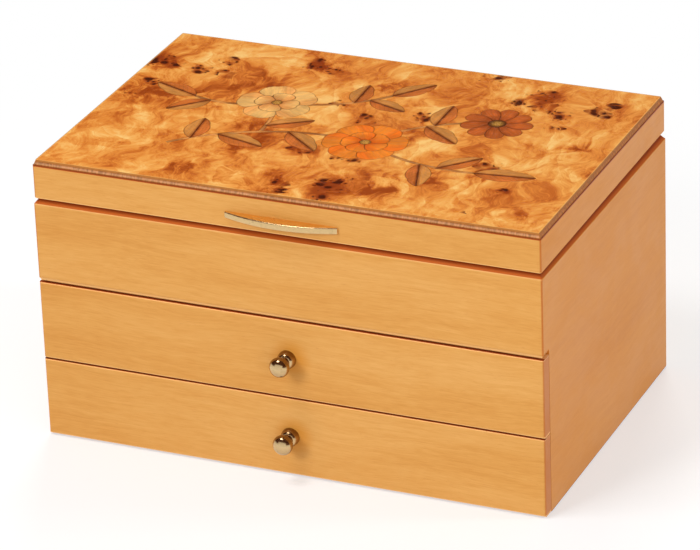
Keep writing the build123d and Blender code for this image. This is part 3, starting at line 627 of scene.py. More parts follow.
def stretch(tree, vector, scale, turn=0.0, location=(0.0, 0.0, 0.0)):
    """Coordinates turned about Z, moved and stretched."""
    inputs = {"Vector": vector, "Scale": scale, "Rotation": (0.0, 0.0, turn), "Location": location}
    return add_node(tree, "Mapping", inputs).outputs[0]


def noise(tree, vector, scale, detail=2.0, roughness=0.5, distortion=0.0, kind="FBM"):
    """A noise texture."""
    inputs = {
        "Vector": vector,
        "Scale": scale,
        "Detail": detail,
        "Roughness": roughness,
        "Distortion": distortion,
    }
    return add_node(tree, "TexNoise", inputs, noise_type=kind)


def cloud(tree, vector, scale, **look):
    """The grey value of a noise texture."""
    return noise(tree, vector, scale, **look).outputs[0]


def streaked(tree, vector, scale, **look):
    """The grey value of a noise texture that has its own scale along each axis."""
    return cloud(tree, stretch(tree, vector, scale), 1.0, **look)


def ramp(tree, value, stops):
    """Colours that follow each other along a value."""
    made = add_node(tree, "ValToRGB", {0: value})
    elements = made.color_ramp.elements
    while len(elements) < len(stops):
        elements.new(1.0)
    for element, (place, colour) in zip(elements, stops):
        element.position = place
        element.color = colour
    return made.outputs[0]


def patches(tree, vector, scale, start, end, low=0.0, high=1.0, **look):
    """A noise that goes from low to high between two of its own values."""
    return fade(tree, cloud(tree, vector, scale, **look), start, end, low, high)


def bump(tree, height, relief):
    """A surface normal from a height."""
    return add_node(tree, "Bump", {"Height": height, "Distance": relief}).outputs[0]


def new_group(name, inputs, outputs):
    """An empty shader group with named sockets. Gives its tree and its two ends."""
    tree = bpy.data.node_groups.new(name, "ShaderNodeTree")
    for label, kind, value in inputs:
        socket = tree.interface.new_socket(label, in_out="INPUT", socket_type="NodeSocket" + kind)
        if value is not None:
            socket.default_value = value
    for label, kind in outputs:
        tree.interface.new_socket(label, in_out="OUTPUT", socket_type="NodeSocket" + kind)
    return tree, tree.nodes.new("NodeGroupInput").outputs, tree.nodes.new("NodeGroupOutput").inputs


def new_material(name, **plain):
    """A material with one shader, whose unchanging sockets are set directly."""
    made = bpy.data.materials.new(name)
    made.use_nodes = True
    tree = made.node_tree
    tree.nodes.clear()
    shader = add_node(tree, "BsdfPrincipled", {})
    for label, value in plain.items():
        shader.inputs[label.replace("_", " ")].default_value = value
    output = add_node(tree, "OutputMaterial", {})
    tree.links.new(shader.outputs[0], output.inputs["Surface"])
    return made, tree, shader


def feed(tree, shader, **sources):
    """Links sources to the shader's sockets."""
    for label, source in sources.items():
        tree.links.new(source, shader.inputs[label.replace("_", " ")])


def own_place(tree):
    """The place of a point in its piece's own frame."""
    return add_node(tree, "TexCoord", {}).outputs["Object"]


def part_of(tree, vector, axis):
    """One coordinate of a vector."""
    return add_node(tree, "SeparateXYZ", {0: vector}).outputs[axis]


def facing(tree, axis):
    """How far a point faces along an axis of its piece's own frame."""
    return part_of(tree, add_node(tree, "TexCoord", {}).outputs["Normal"], axis)


def away_from(tree, place, middle=(0.0, 0.0, 0.0)):
    """How far a point is from a middle."""
    return add_node(tree, "VectorMath", {0: place, 1: middle}, operation="DISTANCE").outputs["Value"]


def shaded(tree, colour, tone):
    """A colour made darker or lighter by a tone."""
    grey = add_node(tree, "CombineColor", {0: tone, 1: tone, 2: tone}).outputs[0]
    return mix(tree, 1.0, colour, grey, "MULTIPLY")


# Shared effects


def weighed(tree, *pairs):
    """The sum of several values, each times its weight."""
    total = 0.0
    for value, weight in pairs:
        total = calculate(tree, "MULTIPLY_ADD", value, weight, total)
    return total


def warp(tree, place, scale, reach):
    """Coordinates pushed about by a noise."""
    push = noise(tree, place, scale).outputs[1]
    centred = calculate_vector(tree, "SUBTRACT", push, (0.5, 0.5, 0.5))
    return calculate_vector(tree, "MULTIPLY_ADD", centred, (reach, reach, reach), place)


def long_grain_group():
    """Fine grain that runs along X: a tone, small pores and a height."""
    tree, given, made = new_group(
        "long_grain",
        [("Vector", "Vector", None), ("Figure", "Float", 1.0)],
        [("Tone", "Float"), ("Pores", "Float"), ("Height", "Float")],
    )
    bent = warp(tree, given["Vector"], *GRAIN_BEND)
    broad = streaked(tree, bent, GRAIN_BROAD)
    streak = streaked(tree, bent, GRAIN_STREAK, detail=3.0, roughness=0.6)
    fine = streaked(tree, bent, GRAIN_FINE)
    pore = streaked(tree, bent, GRAIN_PORE, detail=1.0)
    grain = weighed(tree, *zip((broad, streak, fine), GRAIN_WEIGHTS))
    tone = times(tree, calculate(tree, "SUBTRACT", grain, 0.5), given["Figure"])
    tree.links.new(calculate(tree, "ADD", tone, 0.5), made["Tone"])
    tree.links.new(fade(tree, pore, *PORE_RANGE), made["Pores"])
    tree.links.new(fine, made["Height"])
    return tree


def smear_group():
    """Faint smears from handling, for the gloss of lacquer and metal."""
    tree, given, made = new_group("smears", [("Vector", "Vector", None)], [("Smear", "Float")])
    place = given["Vector"]
    wide = cloud(tree, place, SMEAR_WIDE, detail=3.0, roughness=0.6, distortion=0.8)
    narrow = streaked(tree, place, SMEAR_NARROW)
    smear = weighed(tree, *zip((wide, narrow), SMEAR_WEIGHTS))
    tree.links.new(fade(tree, smear, *NOISE_RANGE), made["Smear"])
    return tree


def nap_group():
    """The short nap of brushed cloth: a tone and a height."""
    tree, given, made = new_group(
        "cloth_nap",
        [("Vector", "Vector", None), ("Nap", "Float", 1.0)],
        [("Tone", "Float"), ("Height", "Float")],
    )
    place = given["Vector"]
    brushed = cloud(tree, place, NAP_BRUSHED, detail=3.0, roughness=0.55, distortion=1.2)
    tufts = cloud(tree, place, NAP_TUFTS, detail=3.0, roughness=0.6)
    fibres = streaked(tree, place, NAP_FIBRES)
    tone = weighed(tree, *zip((brushed, tufts), NAP_WEIGHTS))
    tree.links.new(fade(tree, tone, *NOISE_RANGE), made["Tone"])
    rough = calculate(tree, "ADD", tufts, fibres)
    tree.links.new(times(tree, rough, given["Nap"]), made["Height"])
    return tree


long_grain = long_grain_group()
smears = smear_group()
cloth_nap = nap_group()


def use(tree, group, **inputs):
    """Places a shared effect in a material. Gives its outputs."""
    return add_node(tree, "Group", inputs, node_tree=group).outputs


def smeared_gloss(tree, place, clean, smeared):
    """A roughness that goes from clean to smeared."""
    smear = use(tree, smears, Vector=place)["Smear"]
    return fade(tree, smear, 0.0, 1.0, clean, smeared)


# Woods


def from_edge(tree, place, axis, low, high):
    """How far a point is from the nearer end of its board, along one axis."""
    value = part_of(tree, place, axis)
    from_low = calculate(tree, "SUBTRACT", value, low[axis])
    return calculate(tree, "MINIMUM", from_low, calculate(tree, "SUBTRACT", high[axis], value))


def from_outside(tree, place, axis, low, high):
    """How far a point is from the face of its board that is further from the middle of the object."""
    value = part_of(tree, place, axis)
    if abs(low[axis]) > abs(high[axis]):
        return calculate(tree, "SUBTRACT", value, low[axis])
    return calculate(tree, "SUBTRACT", high[axis], value)


def paint_knob_glow(tree, place, colour, knob):
    """Wood with a deeper orange painted round a knob: a painted glow of light off the brass and a painted
    warm shadow.
    """
    low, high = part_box(knob)
    middle = ((low.x + high.x) / 2 + KNOB_GLOW_SHIFT, high.y, (low.z + high.z) / 2)
    away = away_from(tree, place, middle)
    return mix(tree, fall(tree, away, KNOB_GLOW_NEAR, KNOB_GLOW_FAR, KNOB_GLOW_SHARE), colour, KNOB_GLOW)


def paint_rim_shading(tree, place, colour, colours, board, thick_axis, rim_shading):
    """Wood with painted gap shade and pale painted highlight strips along its lower and its upper edge."""
    low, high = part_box(board)
    outside = from_outside(tree, place, thick_axis, low, high)
    slope = fall(tree, size_of(tree, facing(tree, Z)), *LEVEL_FACE)
    slope = calculate(tree, "MAXIMUM", slope, fall(tree, outside, GAP_REACH / 2, GAP_REACH))
    height = part_of(tree, place, Z)
    below = calculate(tree, "SUBTRACT", height, low.z)
    above = calculate(tree, "SUBTRACT", high.z, height)
    for rim, (shade_width, highlight_width) in zip((below, above), rim_shading):
        if highlight_width:
            # A pale strip that paints the highlight on the bevel
            painted_highlight = fall(tree, rim, highlight_width / 2, highlight_width, HIGHLIGHT_SHARE)
            colour = mix(tree, painted_highlight, colour, colours["painted_highlight"])
        # Red-brown bands that paint the shade in the gap, darkest at the rim
        inner = shade_width * GAP_PART
        for start, end, tint in ((inner, shade_width, "edge"), (0.0, inner, "gap")):
            share = times(tree, fall(tree, rim, start, end), slope)
            colour = mix(tree, share, colour, colours[tint])
    return colour


def grained_wood(name, board, turn, offset, colours, gloss, figure, rim_shading, knob=None):
    """A board whose grain runs along X, or along Y when it is turned, with painted shade and highlights
    along its edges.
    """
    made, tree, shader = new_material(name, Specular_IOR_Level=BOARD_SHINE)
    place = own_place(tree)
    plank = stretch(tree, place, (1.0, 1.0, 1.0), turn, offset)
    grain = use(tree, long_grain, Vector=plank, Figure=figure)
    colour = ramp(tree, grain["Tone"], [(stop, colours[shade]) for shade, stop in GRAIN_STOPS])
    colour = mix(tree, times(tree, grain["Pores"], PORE_SHARE), colour, colours["pore"])
    if knob:
        colour = paint_knob_glow(tree, place, colour, knob)
    length_axis, thick_axis = (Y, X) if turn else (X, Y)
    end = from_edge(tree, place, length_axis, *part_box(board))
    colour = mix(tree, fall(tree, end, END_START, END_WIDTH, END_SHARE), colour, colours["edge"])
    colour = paint_rim_shading(tree, place, colour, colours, board, thick_axis, rim_shading)
    rough = smeared_gloss(tree, plank, *gloss)
    feed(tree, shader, Base_Color=colour, Roughness=rough, Normal=bump(tree, grain["Height"], GRAIN_RELIEF))
    return made


def fine_rail(board):
    """A lid rail with a fine lower edge at the front, which widens to the full bevel at the back."""
    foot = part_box(board)[0].z
    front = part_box("lid_front_rail")[0].y + RAIL_FRONT

    def at_foot(vertex):
        return vertex.co.y < front and vertex.co.z < foot + RAIL_FOOT

    def at_left_foot(vertex):
        return at_foot(vertex) and vertex.co.x < 0

    def at_right_foot(vertex):
        return at_foot(vertex) and vertex.co.x > 0

    def on_arris(vertex):
        return vertex.co.y < front and RAIL_FOOT < vertex.co.z - foot < RAIL_ARRIS

    moves = (
        (at_left_foot, (-RAIL_OUT, -RAIL_OUT, 0.0)),
        (at_right_foot, (RAIL_OUT, -RAIL_OUT, 0.0)),
        (on_arris, (0.0, 0.0, -RAIL_DOWN)),
    )
    rail = copy_solid("fine_" + board, board)
    start_edit(rail)
    for test, move in moves:
        pick(rail, "VERT", test)
        bpy.ops.transform.translate(value=move)
    end_edit()
    bpy.ops.object.shade_smooth_by_angle(angle=RAIL_SMOOTH)
    return rail


def dress_boards():
    """Each honey-coloured board, cut from another place of the plank."""
    knobs = {drawer + "_front": drawer + "_knob" for drawer in DRAWERS}
    for number, (board, turn, colours, rim_shading) in enumerate(HONEY_BOARDS):
        shift = BOARD_SHIFT * (number + 1)
        figure = SIDE_FIGURE if turn else FRONT_FIGURE
        finish = (colours, HONEY_GLOSS, figure, rim_shading, knobs.get(board))
        wood = grained_wood("honey_" + board, board, turn, (shift, shift, 0.0), *finish)
        if board in FINE_RAILS:
            set_in(fine_rail(board), "lid", wood, "honey_wood", board)
        else:
            dress(wood, board)


def plain_colours(dark, light):
    """The colours of a board that has no stain."""
    colours = dict.fromkeys(("dark", "pore", "edge", "gap"), dark)
    colours.update(dict.fromkeys(("middle", "light", "painted_highlight"), light))
    return colours


def dress_inside_woods():
    """The drawer boxes, the runners and the thin panels."""
    pale = (plain_colours(DRAWER_DARK, DRAWER_LIGHT), DRAWER_GLOSS)
    waxed = (plain_colours(RUNNER_DARK, RUNNER_LIGHT), RUNNER_GLOSS)
    boards = []
    for drawer in DRAWERS:
        boards.append((drawer + "_left_side", ALONG_Y, pale))
        boards.append((drawer + "_right_side", ALONG_Y, pale))
        boards.append((drawer + "_back", ALONG_X, pale))
    for runner in ("upper_runner_left", "upper_runner_right", "lower_runner_left", "lower_runner_right"):
        boards.append((runner, ALONG_Y, waxed))
    for number, (board, turn, finish) in enumerate(boards):
        shift = BOARD_SHIFT * (number + 1)
        plank = (board, turn, (shift, 0.0, shift))
        wood = grained_wood("plain_" + board, *plank, *finish, INSIDE_FIGURE, INSIDE_RIM_SHADING)
        dress(wood, board)
    dress(plywood(), "tray_floor", "base_panel", "upper_drawer_bottom", "lower_drawer_bottom")


def plywood():
    """Thin panels with a plain face and dark glue lines round the edge."""
    made, tree, shader = new_material("plywood", Specular_IOR_Level=PLY_SHINE)
    place = own_place(tree)
    grain = use(tree, long_grain, Vector=place, Figure=PLY_FIGURE)
    colour = mix(tree, fade(tree, grain["Tone"], *NOISE_RANGE), PLY_DARK, PLY_LIGHT)
    layer = calculate(tree, "FRACT", calculate(tree, "DIVIDE", part_of(tree, place, Z), PLY_LAYER))
    from_glue = size_of(tree, calculate(tree, "SUBTRACT", layer, 0.5))
    line = fall(tree, from_glue, *PLY_LINE)
    edge = fall(tree, size_of(tree, facing(tree, Z)), *FACE_TURN)
    colour = mix(tree, times(tree, line, edge), colour, PLY_GLUE)
    gloss = fade(tree, grain["Tone"], *NOISE_RANGE, *PLY_GLOSS)
    feed(tree, shader, Base_Color=colour, Roughness=gloss, Normal=bump(tree, grain["Height"], PLY_RELIEF))
    return made


def edge_wood():
    """The layered brown core of the lid's top, which shows as a thin streaked strip; bands up its height
    paint a dark foot line and a pale highlight.
    """
    made, tree, shader = new_material("lid_edge_wood", Specular_IOR_Level=EDGE_SHINE)
    place = own_place(tree)
    low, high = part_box("lid_top_panel")
    inputs = {"Value": part_of(tree, place, Z), "From Min": low.z, "From Max": high.z}
    share = add_node(tree, "MapRange", inputs).outputs[0]
    streaks = streaked(tree, place, EDGE_STREAK, detail=3.0, roughness=0.6)
    end_share = fade(tree, size_of(tree, facing(tree, X)), *FACE_TURN, 0.0, EDGE_END_SHARE)
    # Bands up the height paint the dark foot line and the pale highlight
    colour = mix(tree, end_share, ramp(tree, share, EDGE_PAINTED_BANDS), EDGE_END)
    colour = shaded(tree, colour, fade(tree, streaks, *NOISE_RANGE, *EDGE_TONES))
    gloss = fade(tree, streaks, *NOISE_RANGE, *EDGE_GLOSS)
    feed(tree, shader, Base_Color=colour, Roughness=gloss, Normal=bump(tree, streaks, EDGE_RELIEF))
    return made


# Burl


def crowd_field(tree, place, crowds, heart=0.0):
    """One in the heart of several round places, fading to nothing at their reach."""
    total = 0.0
    for x, y, reach in crowds:
        away = away_from(tree, place, (x * MM, y * MM, 0.0))
        near = fall(tree, away, reach * heart * MM, reach * MM)
        total = calculate(tree, "MAXIMUM", total, near)
    return total


def warp_often(tree, place, warps):
    """Coordinates pushed about by one noise after another."""
    for scale, reach in warps:
        place = warp(tree, place, scale, reach)
    return place


def burl_figure(tree, place, near):
    """The golden figure of the burl, with its red-brown clouds, its arcs and its pale wisps."""
    swirl = warp(tree, place, *SWIRL)
    ripple = warp(tree, swirl, *RIPPLE)
    drawn = warp_often(tree, place, CLOUD_WARPS)

    drift = streaked(tree, swirl, BURL_DRIFT, detail=4.0, roughness=0.55)
    flame = streaked(tree, ripple, BURL_FLAME, detail=5.0, roughness=0.62, distortion=0.6)
    curl = streaked(tree, ripple, BURL_CURL, detail=4.0, roughness=0.6, distortion=0.8)
    thread = cloud(tree, stretch(tree, ripple, BURL_THREAD, THREAD_TURN), 1.0)
    wisp = streaked(tree, ripple, BURL_WISP, detail=3.0, distortion=0.4, kind="RIDGED_MULTIFRACTAL")
    calm = streaked(tree, warp(tree, place, *ARC_WARP), BURL_CALM, detail=1.0)
    arcs = calculate(tree, "FRACT", times(tree, calm, ARC_LINES))
    arcs = times(tree, arcs, fade(tree, drift, *ARC_RANGE))
    dark = times(tree, crowd_field(tree, drawn, DARK_CLOUDS), fade(tree, flame, *CLOUD_BREAKS))
    pale = crowd_field(tree, drawn, PALE_GLADES)

    parts = (
        (drift, DRIFT_WEIGHT),
        (flame, FLAME_WEIGHT),
        (curl, CURL_WEIGHT),
        (thread, THREAD_WEIGHT),
        (dark, CLOUD_WEIGHT),
        (pale, GLADE_WEIGHT),
        (near, CROWD_WEIGHT),
        (arcs, ARC_WEIGHT),
    )
    tone = calculate(tree, "ADD", weighed(tree, *parts), BURL_LEVEL)
    wisps = times(tree, fade(tree, wisp, *WISP_RANGE), fade(tree, near, *WISP_NEAR))
    return mix(tree, wisps, ramp(tree, tone, BURL_STOPS), BURL_PALE)


def eyes_of(tree, place, crowd, cells, rare, most):
    """Eyes scattered in cells where the burl crowds. Gives their cores and the halos round them."""
    inputs = {"Vector": place, "Scale": cells, "Randomness": 1.0}
    found = add_node(tree, "TexVoronoi", inputs, voronoi_dimensions="2D")
    chance = add_node(tree, "SeparateColor", {0: found.outputs["Color"]}).outputs[0]
    size = times(tree, fade(tree, chance, rare, 1.0, 0.0, most), crowd)
    size = calculate(tree, "MAXIMUM", size, EYE_LEAST)
    away = calculate(tree, "DIVIDE", found.outputs["Distance"], size)
    return fall(tree, away, *EYE_CORE), fall(tree, away, *EYE_HALO)


def burl():
    """Burl veneer: golden figure, crowds of dark eyes, a brown rim and a pale painted highlight inside it.
    """
    made, tree, shader = new_material("burl_veneer_wood", Specular_IOR_Level=BURL_SHINE)
    place = calculate_vector(tree, "MULTIPLY", own_place(tree), (1.0, 1.0, 0.0))
    shaken = warp_often(tree, place, EYE_WARPS)
    crowd = crowd_field(tree, shaken, EYE_CROWDS, CROWD_HEART)
    near = crowd_field(tree, shaken, EYE_CROWDS, CROWD_DEEP)
    colour = burl_figure(tree, place, near)

    large_core, large_halo = eyes_of(tree, shaken, crowd, *LARGE_EYES)
    small_core, small_halo = eyes_of(tree, shaken, crowd, *SMALL_EYES)
    halo = calculate(tree, "MAXIMUM", large_halo, times(tree, small_halo, SMALL_HALO_SHARE))
    core = calculate(tree, "MAXIMUM", large_core, small_core)
    colour = mix(tree, times(tree, halo, HALO_SHARE), colour, BURL_HALO)
    colour = mix(tree, times(tree, core, EYE_SHARE), colour, BURL_EYE)

    low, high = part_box("burl_veneer")
    across = from_edge(tree, place, X, low, high)
    border = calculate(tree, "MINIMUM", across, from_edge(tree, place, Y, low, high))
    # A pale painted highlight just inside the brown rim
    pale = fall(tree, border, EDGE_RIM_WIDTH, 2 * EDGE_RIM_WIDTH, EDGE_HIGHLIGHT_SHARE)
    colour = mix(tree, pale, colour, BURL_PALE)
    rim = fall(tree, border, EDGE_RIM_WIDTH / 2, EDGE_RIM_WIDTH, EDGE_RIM_SHARE)
    colour = mix(tree, rim, colour, EDGE_RIM)
    gloss = smeared_gloss(tree, place, *BURL_GLOSS)
    feed(tree, shader, Base_Color=colour, Roughness=gloss, Normal=bump(tree, core, EYE_RELIEF))
    return made


# Inlay


def laid_grain(tree):
    """The place of a point along and across its own piece of inlay, in metres."""
    return add_node(tree, "UVMap", {}, uv_map="grain").outputs[0]


def wavy(tree, value, wave):
    """A value that wavers along a piece of inlay."""
    scale, height = wave
    return calculate(tree, "MULTIPLY_ADD", cloud(tree, laid_grain(tree), scale), height, value)


def engraved(tree, value, width):
    """Fine lines where a value passes a whole number."""
    part = calculate(tree, "FRACT", value)
    away = size_of(tree, calculate(tree, "SUBTRACT", part, 0.5))
    return fade(tree, away, 0.5 - width, 0.5)


def inlay_finish(name, light, shade, depth, vein, vein_share, line_share):
    """An inlaid wood: fine grain along the piece, scorched shading, engraved veins and a dark outline."""
    made, tree, shader = new_material(name, Specular_IOR_Level=INLAY_SHINE)
    grain = use(tree, long_grain, Vector=laid_grain(tree), Figure=INLAY_FIGURE)
    tone = fade(tree, grain["Tone"], *INLAY_RANGE, *INLAY_TONES)
    tone = times(tree, tone, patches(tree, own_place(tree), *INLAY_PATCHES))
    colour = mix(tree, depth(tree), shade, light)
    colour = mix(tree, times(tree, vein(tree), vein_share), colour, shade)
    colour = shaded(tree, colour, tone)
    rim = part_of(tree, add_node(tree, "UVMap", {}, uv_map="rim").outputs[0], X)
    colour = mix(tree, fall(tree, rim, *INLAY_LINE_RANGE, line_share), colour, INLAY_LINE)
    gloss = fade(tree, grain["Tone"], *INLAY_RANGE, *INLAY_GLOSS)
    feed(tree, shader, Base_Color=colour, Roughness=gloss, Normal=bump(tree, grain["Height"], GRAIN_RELIEF))
    return made


def petal_depth(tree):
    """Petals are scorched dark near the heart of the blossom and along one edge."""
    along = wavy(tree, part_of(tree, laid_grain(tree), X), PETAL_WAVE)
    across = wavy(tree, part_of(tree, laid_grain(tree), Y), PETAL_WAVE)
    side = fade(tree, across, *PETAL_SIDE, PETAL_SIDE_LIGHT, 1.0)
    return times(tree, fade(tree, along, *PETAL_SCORCH), side)


def petal_veins(tree):
    """Broken lines that fan out from the heart along a petal."""
    flat = laid_grain(tree)
    along = calculate(tree, "ADD", part_of(tree, flat, X), FAN_START)
    fan = calculate(tree, "DIVIDE", part_of(tree, flat, Y), along)
    scale, wave = FAN_WAVE
    waves = times(tree, cloud(tree, flat, scale, detail=1.0), wave)
    lines = engraved(tree, calculate(tree, "MULTIPLY_ADD", fan, FAN_LINES, waves), FAN_WIDTH)
    return times(tree, lines, patches(tree, flat, *PETAL_BREAKS))


def leaf_depth(tree):
    """Leaves are scorched dark beside the midrib and towards the stalk."""
    flat = laid_grain(tree)
    from_rib = wavy(tree, size_of(tree, part_of(tree, flat, Y)), LEAF_WAVE)
    stalk = fade(tree, part_of(tree, flat, X), 0.0, LEAF_STALK, LEAF_STALK_LIGHT, 1.0)
    return times(tree, fade(tree, from_rib, *LEAF_SCORCH), stalk)


def leaf_veins(tree):
    """Slanting side veins of a leaf."""
    flat = laid_grain(tree)
    slant = calculate(tree, "SUBTRACT", part_of(tree, flat, X), size_of(tree, part_of(tree, flat, Y)))
    return engraved(tree, calculate(tree, "DIVIDE", slant, LEAF_VEIN_PITCH), LEAF_VEIN_WIDTH)


def stem_depth(tree):
    """Stems vary softly along their length."""
    return patches(tree, own_place(tree), *STEM_TONES, detail=3.0)


def stem_veins(tree):
    """Short dark flecks in the bark of a stem."""
    return patches(tree, own_place(tree), *STEM_FLECKS)


def heart_depth(tree):
    """Hearts are darkest round their rim."""
    return fall(tree, away_from(tree, laid_grain(tree)), *HEART_SCORCH)


def heart_veins(tree):
    """Dots of the stamens in a heart."""
    inputs = {"Vector": laid_grain(tree), "Scale": STAMENS}
    found = add_node(tree, "TexVoronoi", inputs, voronoi_dimensions="2D")
    return fall(tree, found.outputs["Distance"], *STAMEN_RANGE)


def loose_parts(shape):
    """The separate parts of a mesh, each as a list of vertices."""
    waiting = set(shape.verts)
    parts = []
    while waiting:
        part = []
        open_ends = [waiting.pop()]
        while open_ends:
            vertex = open_ends.pop()
            part.append(vertex)
            for edge in vertex.link_edges:
                other = edge.other_vert(vertex)
                if other in waiting:
                    waiting.remove(other)
                    open_ends.append(other)
        parts.append(part)
    return parts


def middle_of(part):
    """The middle of a loose part."""
    return sum((vertex.co for vertex in part), Vector()) / len(part)


def nearest(point, places):
    """The nearest of several places."""
    return min(places, key=lambda place: (place - point).length)


def lay_grain(piece, axis_of):
    """Sets a rim into the top of a piece, and maps each loose part along its own grain and across it."""
    start_edit(piece)
    pick(piece, "FACE", lambda face: face.normal.z > LEVEL)
    bpy.ops.mesh.inset(thickness=INLAY_LINE_WIDTH, depth=0.0)
    end_edit()
    shape = bmesh.new()
    shape.from_mesh(piece.data)
    grain = shape.loops.layers.uv.new("grain")
    rim = shape.loops.layers.uv.new("rim")
    for part in loose_parts(shape):
        origin, along = axis_of(part)
        across = Vector((-along.y, along.x, 0.0))
        for vertex in part:
            offset = vertex.co - origin
            for loop in vertex.link_loops:
                loop[grain].uv = (offset.dot(along), offset.dot(across))
                loop[rim].uv = (1.0 if vertex.select else 0.0, 0.0)
    shape.to_mesh(piece.data)
    shape.free()


def flat_way(start, end):
    """The level direction from one place to another."""
    way = Vector((end.x - start.x, end.y - start.y, 0.0))
    return way.normalized()


def solid_parts(source):
    """The middles of the loose parts of a solid, and its corners."""
    piece = copy_solid("measure", source)
    shape = bmesh.new()
    shape.from_mesh(piece.data)
    middles = [middle_of(part) for part in loose_parts(shape)]
    corners = [vertex.co.copy() for vertex in shape.verts]
    shape.free()
    bpy.data.objects.remove(piece)
    return middles, corners


def add_inlay():
    """The inlaid woods, each with its grain laid along every petal and leaf."""
    hearts = solid_parts("inlay_hearts")[0]
    stems = solid_parts("inlay_stems")[1]

    def petal_axis(part):
        heart = nearest(middle_of(part), hearts)
        return heart, flat_way(heart, middle_of(part))

    def leaf_axis(part):
        edges = {edge for vertex in part for edge in vertex.link_edges}
        rib = max(edges, key=lambda edge: edge.calc_length())
        stalk, tip = sorted(rib.verts, key=lambda end: (nearest(end.co, stems) - end.co).length)
        return stalk.co.copy(), flat_way(stalk.co, tip.co)

    def plain_axis(part):
        return middle_of(part), Vector((1.0, 0.0, 0.0))

    petal = (petal_axis, petal_depth, petal_veins)
    leaf = (leaf_axis, leaf_depth, leaf_veins)
    heart = (plain_axis, heart_depth, heart_veins)
    stem = (plain_axis, stem_depth, stem_veins)
    # Solid, slot, light and dark of its wood, kind of piece, share of its veins and share of its outline
    woods = (
        ("inlay_orange_petals", "inlay_orange", ORANGE, ORANGE_SHADE, petal, 0.6, 0.45),
        ("inlay_cream_petals", "inlay_cream", CREAM, CREAM_SHADE, petal, 0.5, 0.45),
        ("inlay_russet_petals", "inlay_russet", RUSSET, RUSSET_SHADE, petal, 0.5, 0.45),
        ("inlay_hearts", "inlay_heart", HEART, HEART_SHADE, heart, 0.8, 0.5),
        ("inlay_light_leaves", "inlay_olive", OLIVE, OLIVE_SHADE, leaf, 0.5, 0.4),
        ("inlay_dark_leaves", "inlay_brown", DARK_LEAF, DARK_LEAF_SHADE, leaf, 0.5, 0.4),
        ("inlay_stems", "inlay_stem", STEM, STEM_SHADE, stem, 0.6, 0.3),
    )
    for source, slot, light, shade, (axis_of, depth, vein), vein_share, line_share in woods:
        piece = copy_solid(source.replace("inlay_", "inlaid_"), source)
        lay_grain(piece, axis_of)
        finish = inlay_finish(slot + "_wood", light, shade, depth, vein, vein_share, line_share)
        set_in(piece, "lid", finish, slot, source)


# Metals


def metal(name, colour, tarnish_and_shade, gloss, specked, front=0.0, sides=0.0, top=0.0, under=0.0):
    """A worked metal with smears, specks of tarnish, and painted darker reflections on the faces that look
    some way.
    """
    made, tree, shader = new_material(name, Metallic=1.0)
    place = own_place(tree)
    upwards = facing(tree, Z)
    # Darker colour painted by the way a face looks, for dark reflections on faces that look front,
    # sideways, up or down
    layers = (
        fade(tree, facing(tree, Y), *FRONT_TURN, front, sides),
        fade(tree, upwards, *TOP_TURN, 0.0, top),
        fall(tree, upwards, *UNDER_TURN, under),
    )
    dull = patches(tree, place, *METAL_SPECKS, 0.0, specked, detail=4.0, roughness=0.65)
    for layer in layers:
        dull = calculate(tree, "ADD", dull, layer)
    relief = bump(tree, cloud(tree, place, METAL_FINE), METAL_RELIEF)
    feed(tree, shader, Base_Color=mix(tree, dull, colour, tarnish_and_shade))
    feed(tree, shader, Roughness=smeared_gloss(tree, place, *gloss), Normal=relief)
    return made


def mirror_glass():
    """Silvered glass."""
    made, tree, shader = new_material("mirror_glass", Base_Color=SILVER, Metallic=1.0)
    feed(tree, shader, Roughness=smeared_gloss(tree, own_place(tree), *MIRROR_GLOSS))
    return made


def turned_profile():
    """Rings of the knob, as radius and distance out, from the drawer front to the tip."""
    rings = [(KNOB_BASE, 0.0)]
    for step in range(KNOB_STEPS + 1):
        turn = QUARTER_TURN * step / KNOB_STEPS
        radius = KNOB_NECK + (KNOB_BASE - KNOB_NECK) * math.cos(turn)
        rings.append((radius, KNOB_BASE_RIM + (KNOB_BASE_OUT - KNOB_BASE_RIM) * math.sin(turn)))
    start = -math.acos(KNOB_NECK / KNOB_HEAD)
    for step in range(KNOB_STEPS + 1):
        turn = start * (1 - step / KNOB_STEPS)
        rings.append((KNOB_HEAD * math.cos(turn), KNOB_HEAD_OUT + KNOB_HEAD * math.sin(turn)))
    for step in range(1, 2 * KNOB_STEPS):
        turn = QUARTER_TURN * step / (2 * KNOB_STEPS)
        radius = KNOB_HEAD * math.cos(turn)
        rings.append((radius, KNOB_HEAD_OUT + (KNOB_TIP_OUT - KNOB_HEAD_OUT) * math.sin(turn)))
    return rings


def add_knob(drawer, finish):
    """A turned knob, drawn out ring by ring from a disc on the drawer front."""
    low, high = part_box(drawer + "_knob")
    centre = (low + high) / 2
    rings = turned_profile()
    radius, out = rings[0]
    bpy.ops.object.select_all(action="DESELECT")
    bpy.ops.mesh.primitive_circle_add(
        vertices=KNOB_SIDES,
        radius=radius,
        fill_type="NGON",
        location=(centre.x, high.y, centre.z),
        rotation=(QUARTER_TURN, 0.0, 0.0),
    )
    knob = name_new(drawer + "_turned_knob")
    start_edit(knob)
    bpy.ops.mesh.select_all(action="SELECT")
    for next_radius, next_out in rings[1:]:
        bpy.ops.mesh.extrude_region_move(TRANSFORM_OT_translate={"value": (0.0, out - next_out, 0.0)})
        scale = next_radius / radius
        middle = (centre.x, high.y - next_out, centre.z)
        bpy.ops.transform.resize(value=(scale, 1.0, scale), center_override=middle)
        radius, out = next_radius, next_out
    face_out()
    end_edit()
    bpy.ops.object.shade_smooth_by_angle(angle=KNOB_SMOOTH)
    set_in(knob, drawer, finish, "brass", drawer + "_knob")


